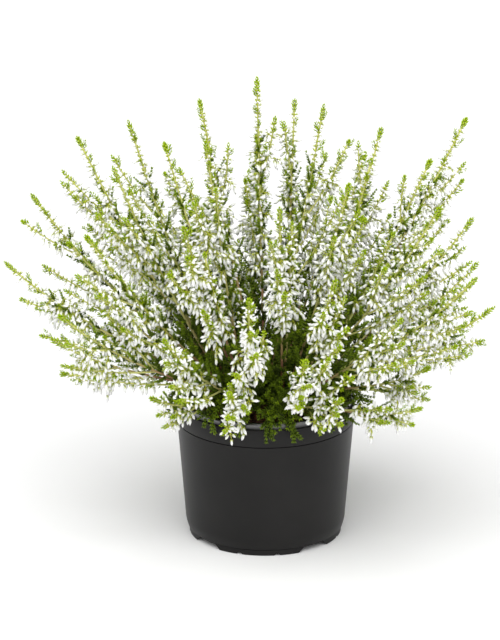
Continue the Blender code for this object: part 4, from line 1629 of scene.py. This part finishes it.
class HEATHER_OT_flowers(bpy.types.Operator):
    """Set closed white buds with their bracts along every flowering shoot"""
    bl_idname = "heather.flowers"
    bl_label = "Flowers"

    def execute(self, context):
        flower = context.scene.heather_flower
        leaf = context.scene.heather_leaf
        white = bud_material(flower)
        green = bpy.data.materials["green_leaves"]
        flowers = Flowers(flower, leaf)
        draw = random.Random(SEED + 500)
        for number, cutting in enumerate(BUSH, start=1):
            flowers.start_pieces()
            for line in cutting["shoots"]:
                length = line_length(line)
                chord = line[-1] - line[0]
                lean = math.hypot(chord.x, chord.y) / chord.length
                start = length * (draw.uniform(*RACEME_STARTS) + LEANING_START * lean)
                raceme(flowers, line, start, length - leaf.tip_length, RACEME_FULLNESS, draw)
            for line in cutting["sides"]:
                length = line_length(line)
                start = length * SIDE_RACEME_START
                end = length - leaf.tip_length * SIDE_TIP_SHARE
                raceme(flowers, line, start, end, SIDE_RACEME_FULLNESS, draw)
            sprays = [f"spray_{spray:02d}" for spray in cutting["numbers"]]
            new_piece(f"white_buds_{number}", flowers.buds, white, sprays)
            new_piece(f"bracts_{number}", flowers.greens, green)
        flowers.free()
        return {"FINISHED"}


# Studio

FLOOR_REACH = 15.0
AIR_STRENGTH = 0.32
SENSOR_WIDTH = 36.0
VIEW_END = 50.0
LIGHTS = (
    ("key_light", (-0.20, -0.50, 1.0), math.radians(75.0), 2.9),
    ("fill_light", (0.65, -1.0, 0.50), math.radians(80.0), 1.25),
)


def soft_light(name, heading, spread, strength):
    """Even light from one side of the studio, soft because its source is wide."""
    light = bpy.data.lights.new(name, "SUN")
    light.angle = spread
    light.energy = strength
    lamp = bpy.data.objects.new(name, light)
    lamp.rotation_euler = Vector(heading).to_track_quat("Z", "Y").to_euler()
    bpy.context.scene.collection.objects.link(lamp)


class HEATHER_OT_studio(bpy.types.Operator):
    """Lay the pale floor, hang the soft lights and set the camera"""
    bl_idname = "heather.studio"
    bl_label = "Studio"

    def execute(self, context):
        studio = context.scene.heather_studio
        bm = bmesh.new()
        bmesh.ops.create_grid(bm, x_segments=1, y_segments=1, size=FLOOR_REACH)
        floor = bpy.data.objects.new("floor", mesh_from("floor", bm))
        paint = bpy.data.materials.new("pale_floor")
        paint.use_nodes = True
        set_sockets(paint.node_tree.nodes["Principled BSDF"], {
            "Base Color": (*studio.floor_colour, 1.0), "Roughness": 0.9,
        })
        floor.data.materials.append(paint)
        context.scene.collection.objects.link(floor)
        world = bpy.data.worlds.new("studio_air")
        world.use_nodes = True
        set_sockets(world.node_tree.nodes["Background"], {
            "Color": (1.0, 1.0, 1.0, 1.0), "Strength": AIR_STRENGTH,
        })
        context.scene.world = world
        for name, heading, spread, strength in LIGHTS:
            soft_light(name, heading, spread, strength)
        context.scene.view_settings.view_transform = "Standard"
        lens = bpy.data.cameras.new("camera")
        lens.lens = studio.camera_lens
        lens.sensor_width = SENSOR_WIDTH
        lens.clip_end = VIEW_END
        camera = bpy.data.objects.new("camera", lens)
        back = Vector((0.0, -math.cos(studio.camera_elevation), math.sin(studio.camera_elevation)))
        camera.location = Vector(studio.aim) + back * studio.camera_distance
        camera.rotation_euler = (-back).to_track_quat("-Z", "Y").to_euler()
        context.scene.collection.objects.link(camera)
        context.scene.camera = camera
        return {"FINISHED"}


class HEATHER_PT_panel(bpy.types.Panel):
    """Buttons and settings of the potted heather"""
    bl_idname = "HEATHER_PT_panel"
    bl_label = "Potted heather"
    bl_space_type = "VIEW_3D"
    bl_region_type = "UI"
    bl_category = "Heather"

    def draw(self, context):
        for name, kind, operator in GROUPS:
            box = self.layout.box()
            for key in kind.__annotations__:
                box.prop(getattr(context.scene, name), key)
            box.operator(operator.bl_idname)


GROUPS = (
    ("heather_pot", PotSettings, HEATHER_OT_pot),
    ("heather_soil", SoilSettings, HEATHER_OT_soil),
    ("heather_stem", StemSettings, HEATHER_OT_stems),
    ("heather_leaf", LeafSettings, HEATHER_OT_leaves),
    ("heather_flower", FlowerSettings, HEATHER_OT_flowers),
    ("heather_studio", StudioSettings, HEATHER_OT_studio),
)


def register():
    for name, settings, operator in GROUPS:
        bpy.utils.register_class(settings)
        setattr(bpy.types.Scene, name, PointerProperty(type=settings))
        bpy.utils.register_class(operator)
    bpy.utils.register_class(HEATHER_PT_panel)


def unregister():
    bpy.utils.unregister_class(HEATHER_PT_panel)
    for name, settings, operator in reversed(GROUPS):
        bpy.utils.unregister_class(operator)
        delattr(bpy.types.Scene, name)
        bpy.utils.unregister_class(settings)


def main():
    register()
    bpy.ops.heather.studio()
    bpy.ops.heather.pot()
    bpy.ops.heather.soil()
    bpy.ops.heather.stems()
    bpy.ops.heather.leaves()
    bpy.ops.heather.flowers()


if __name__ == "__main__":
    main()
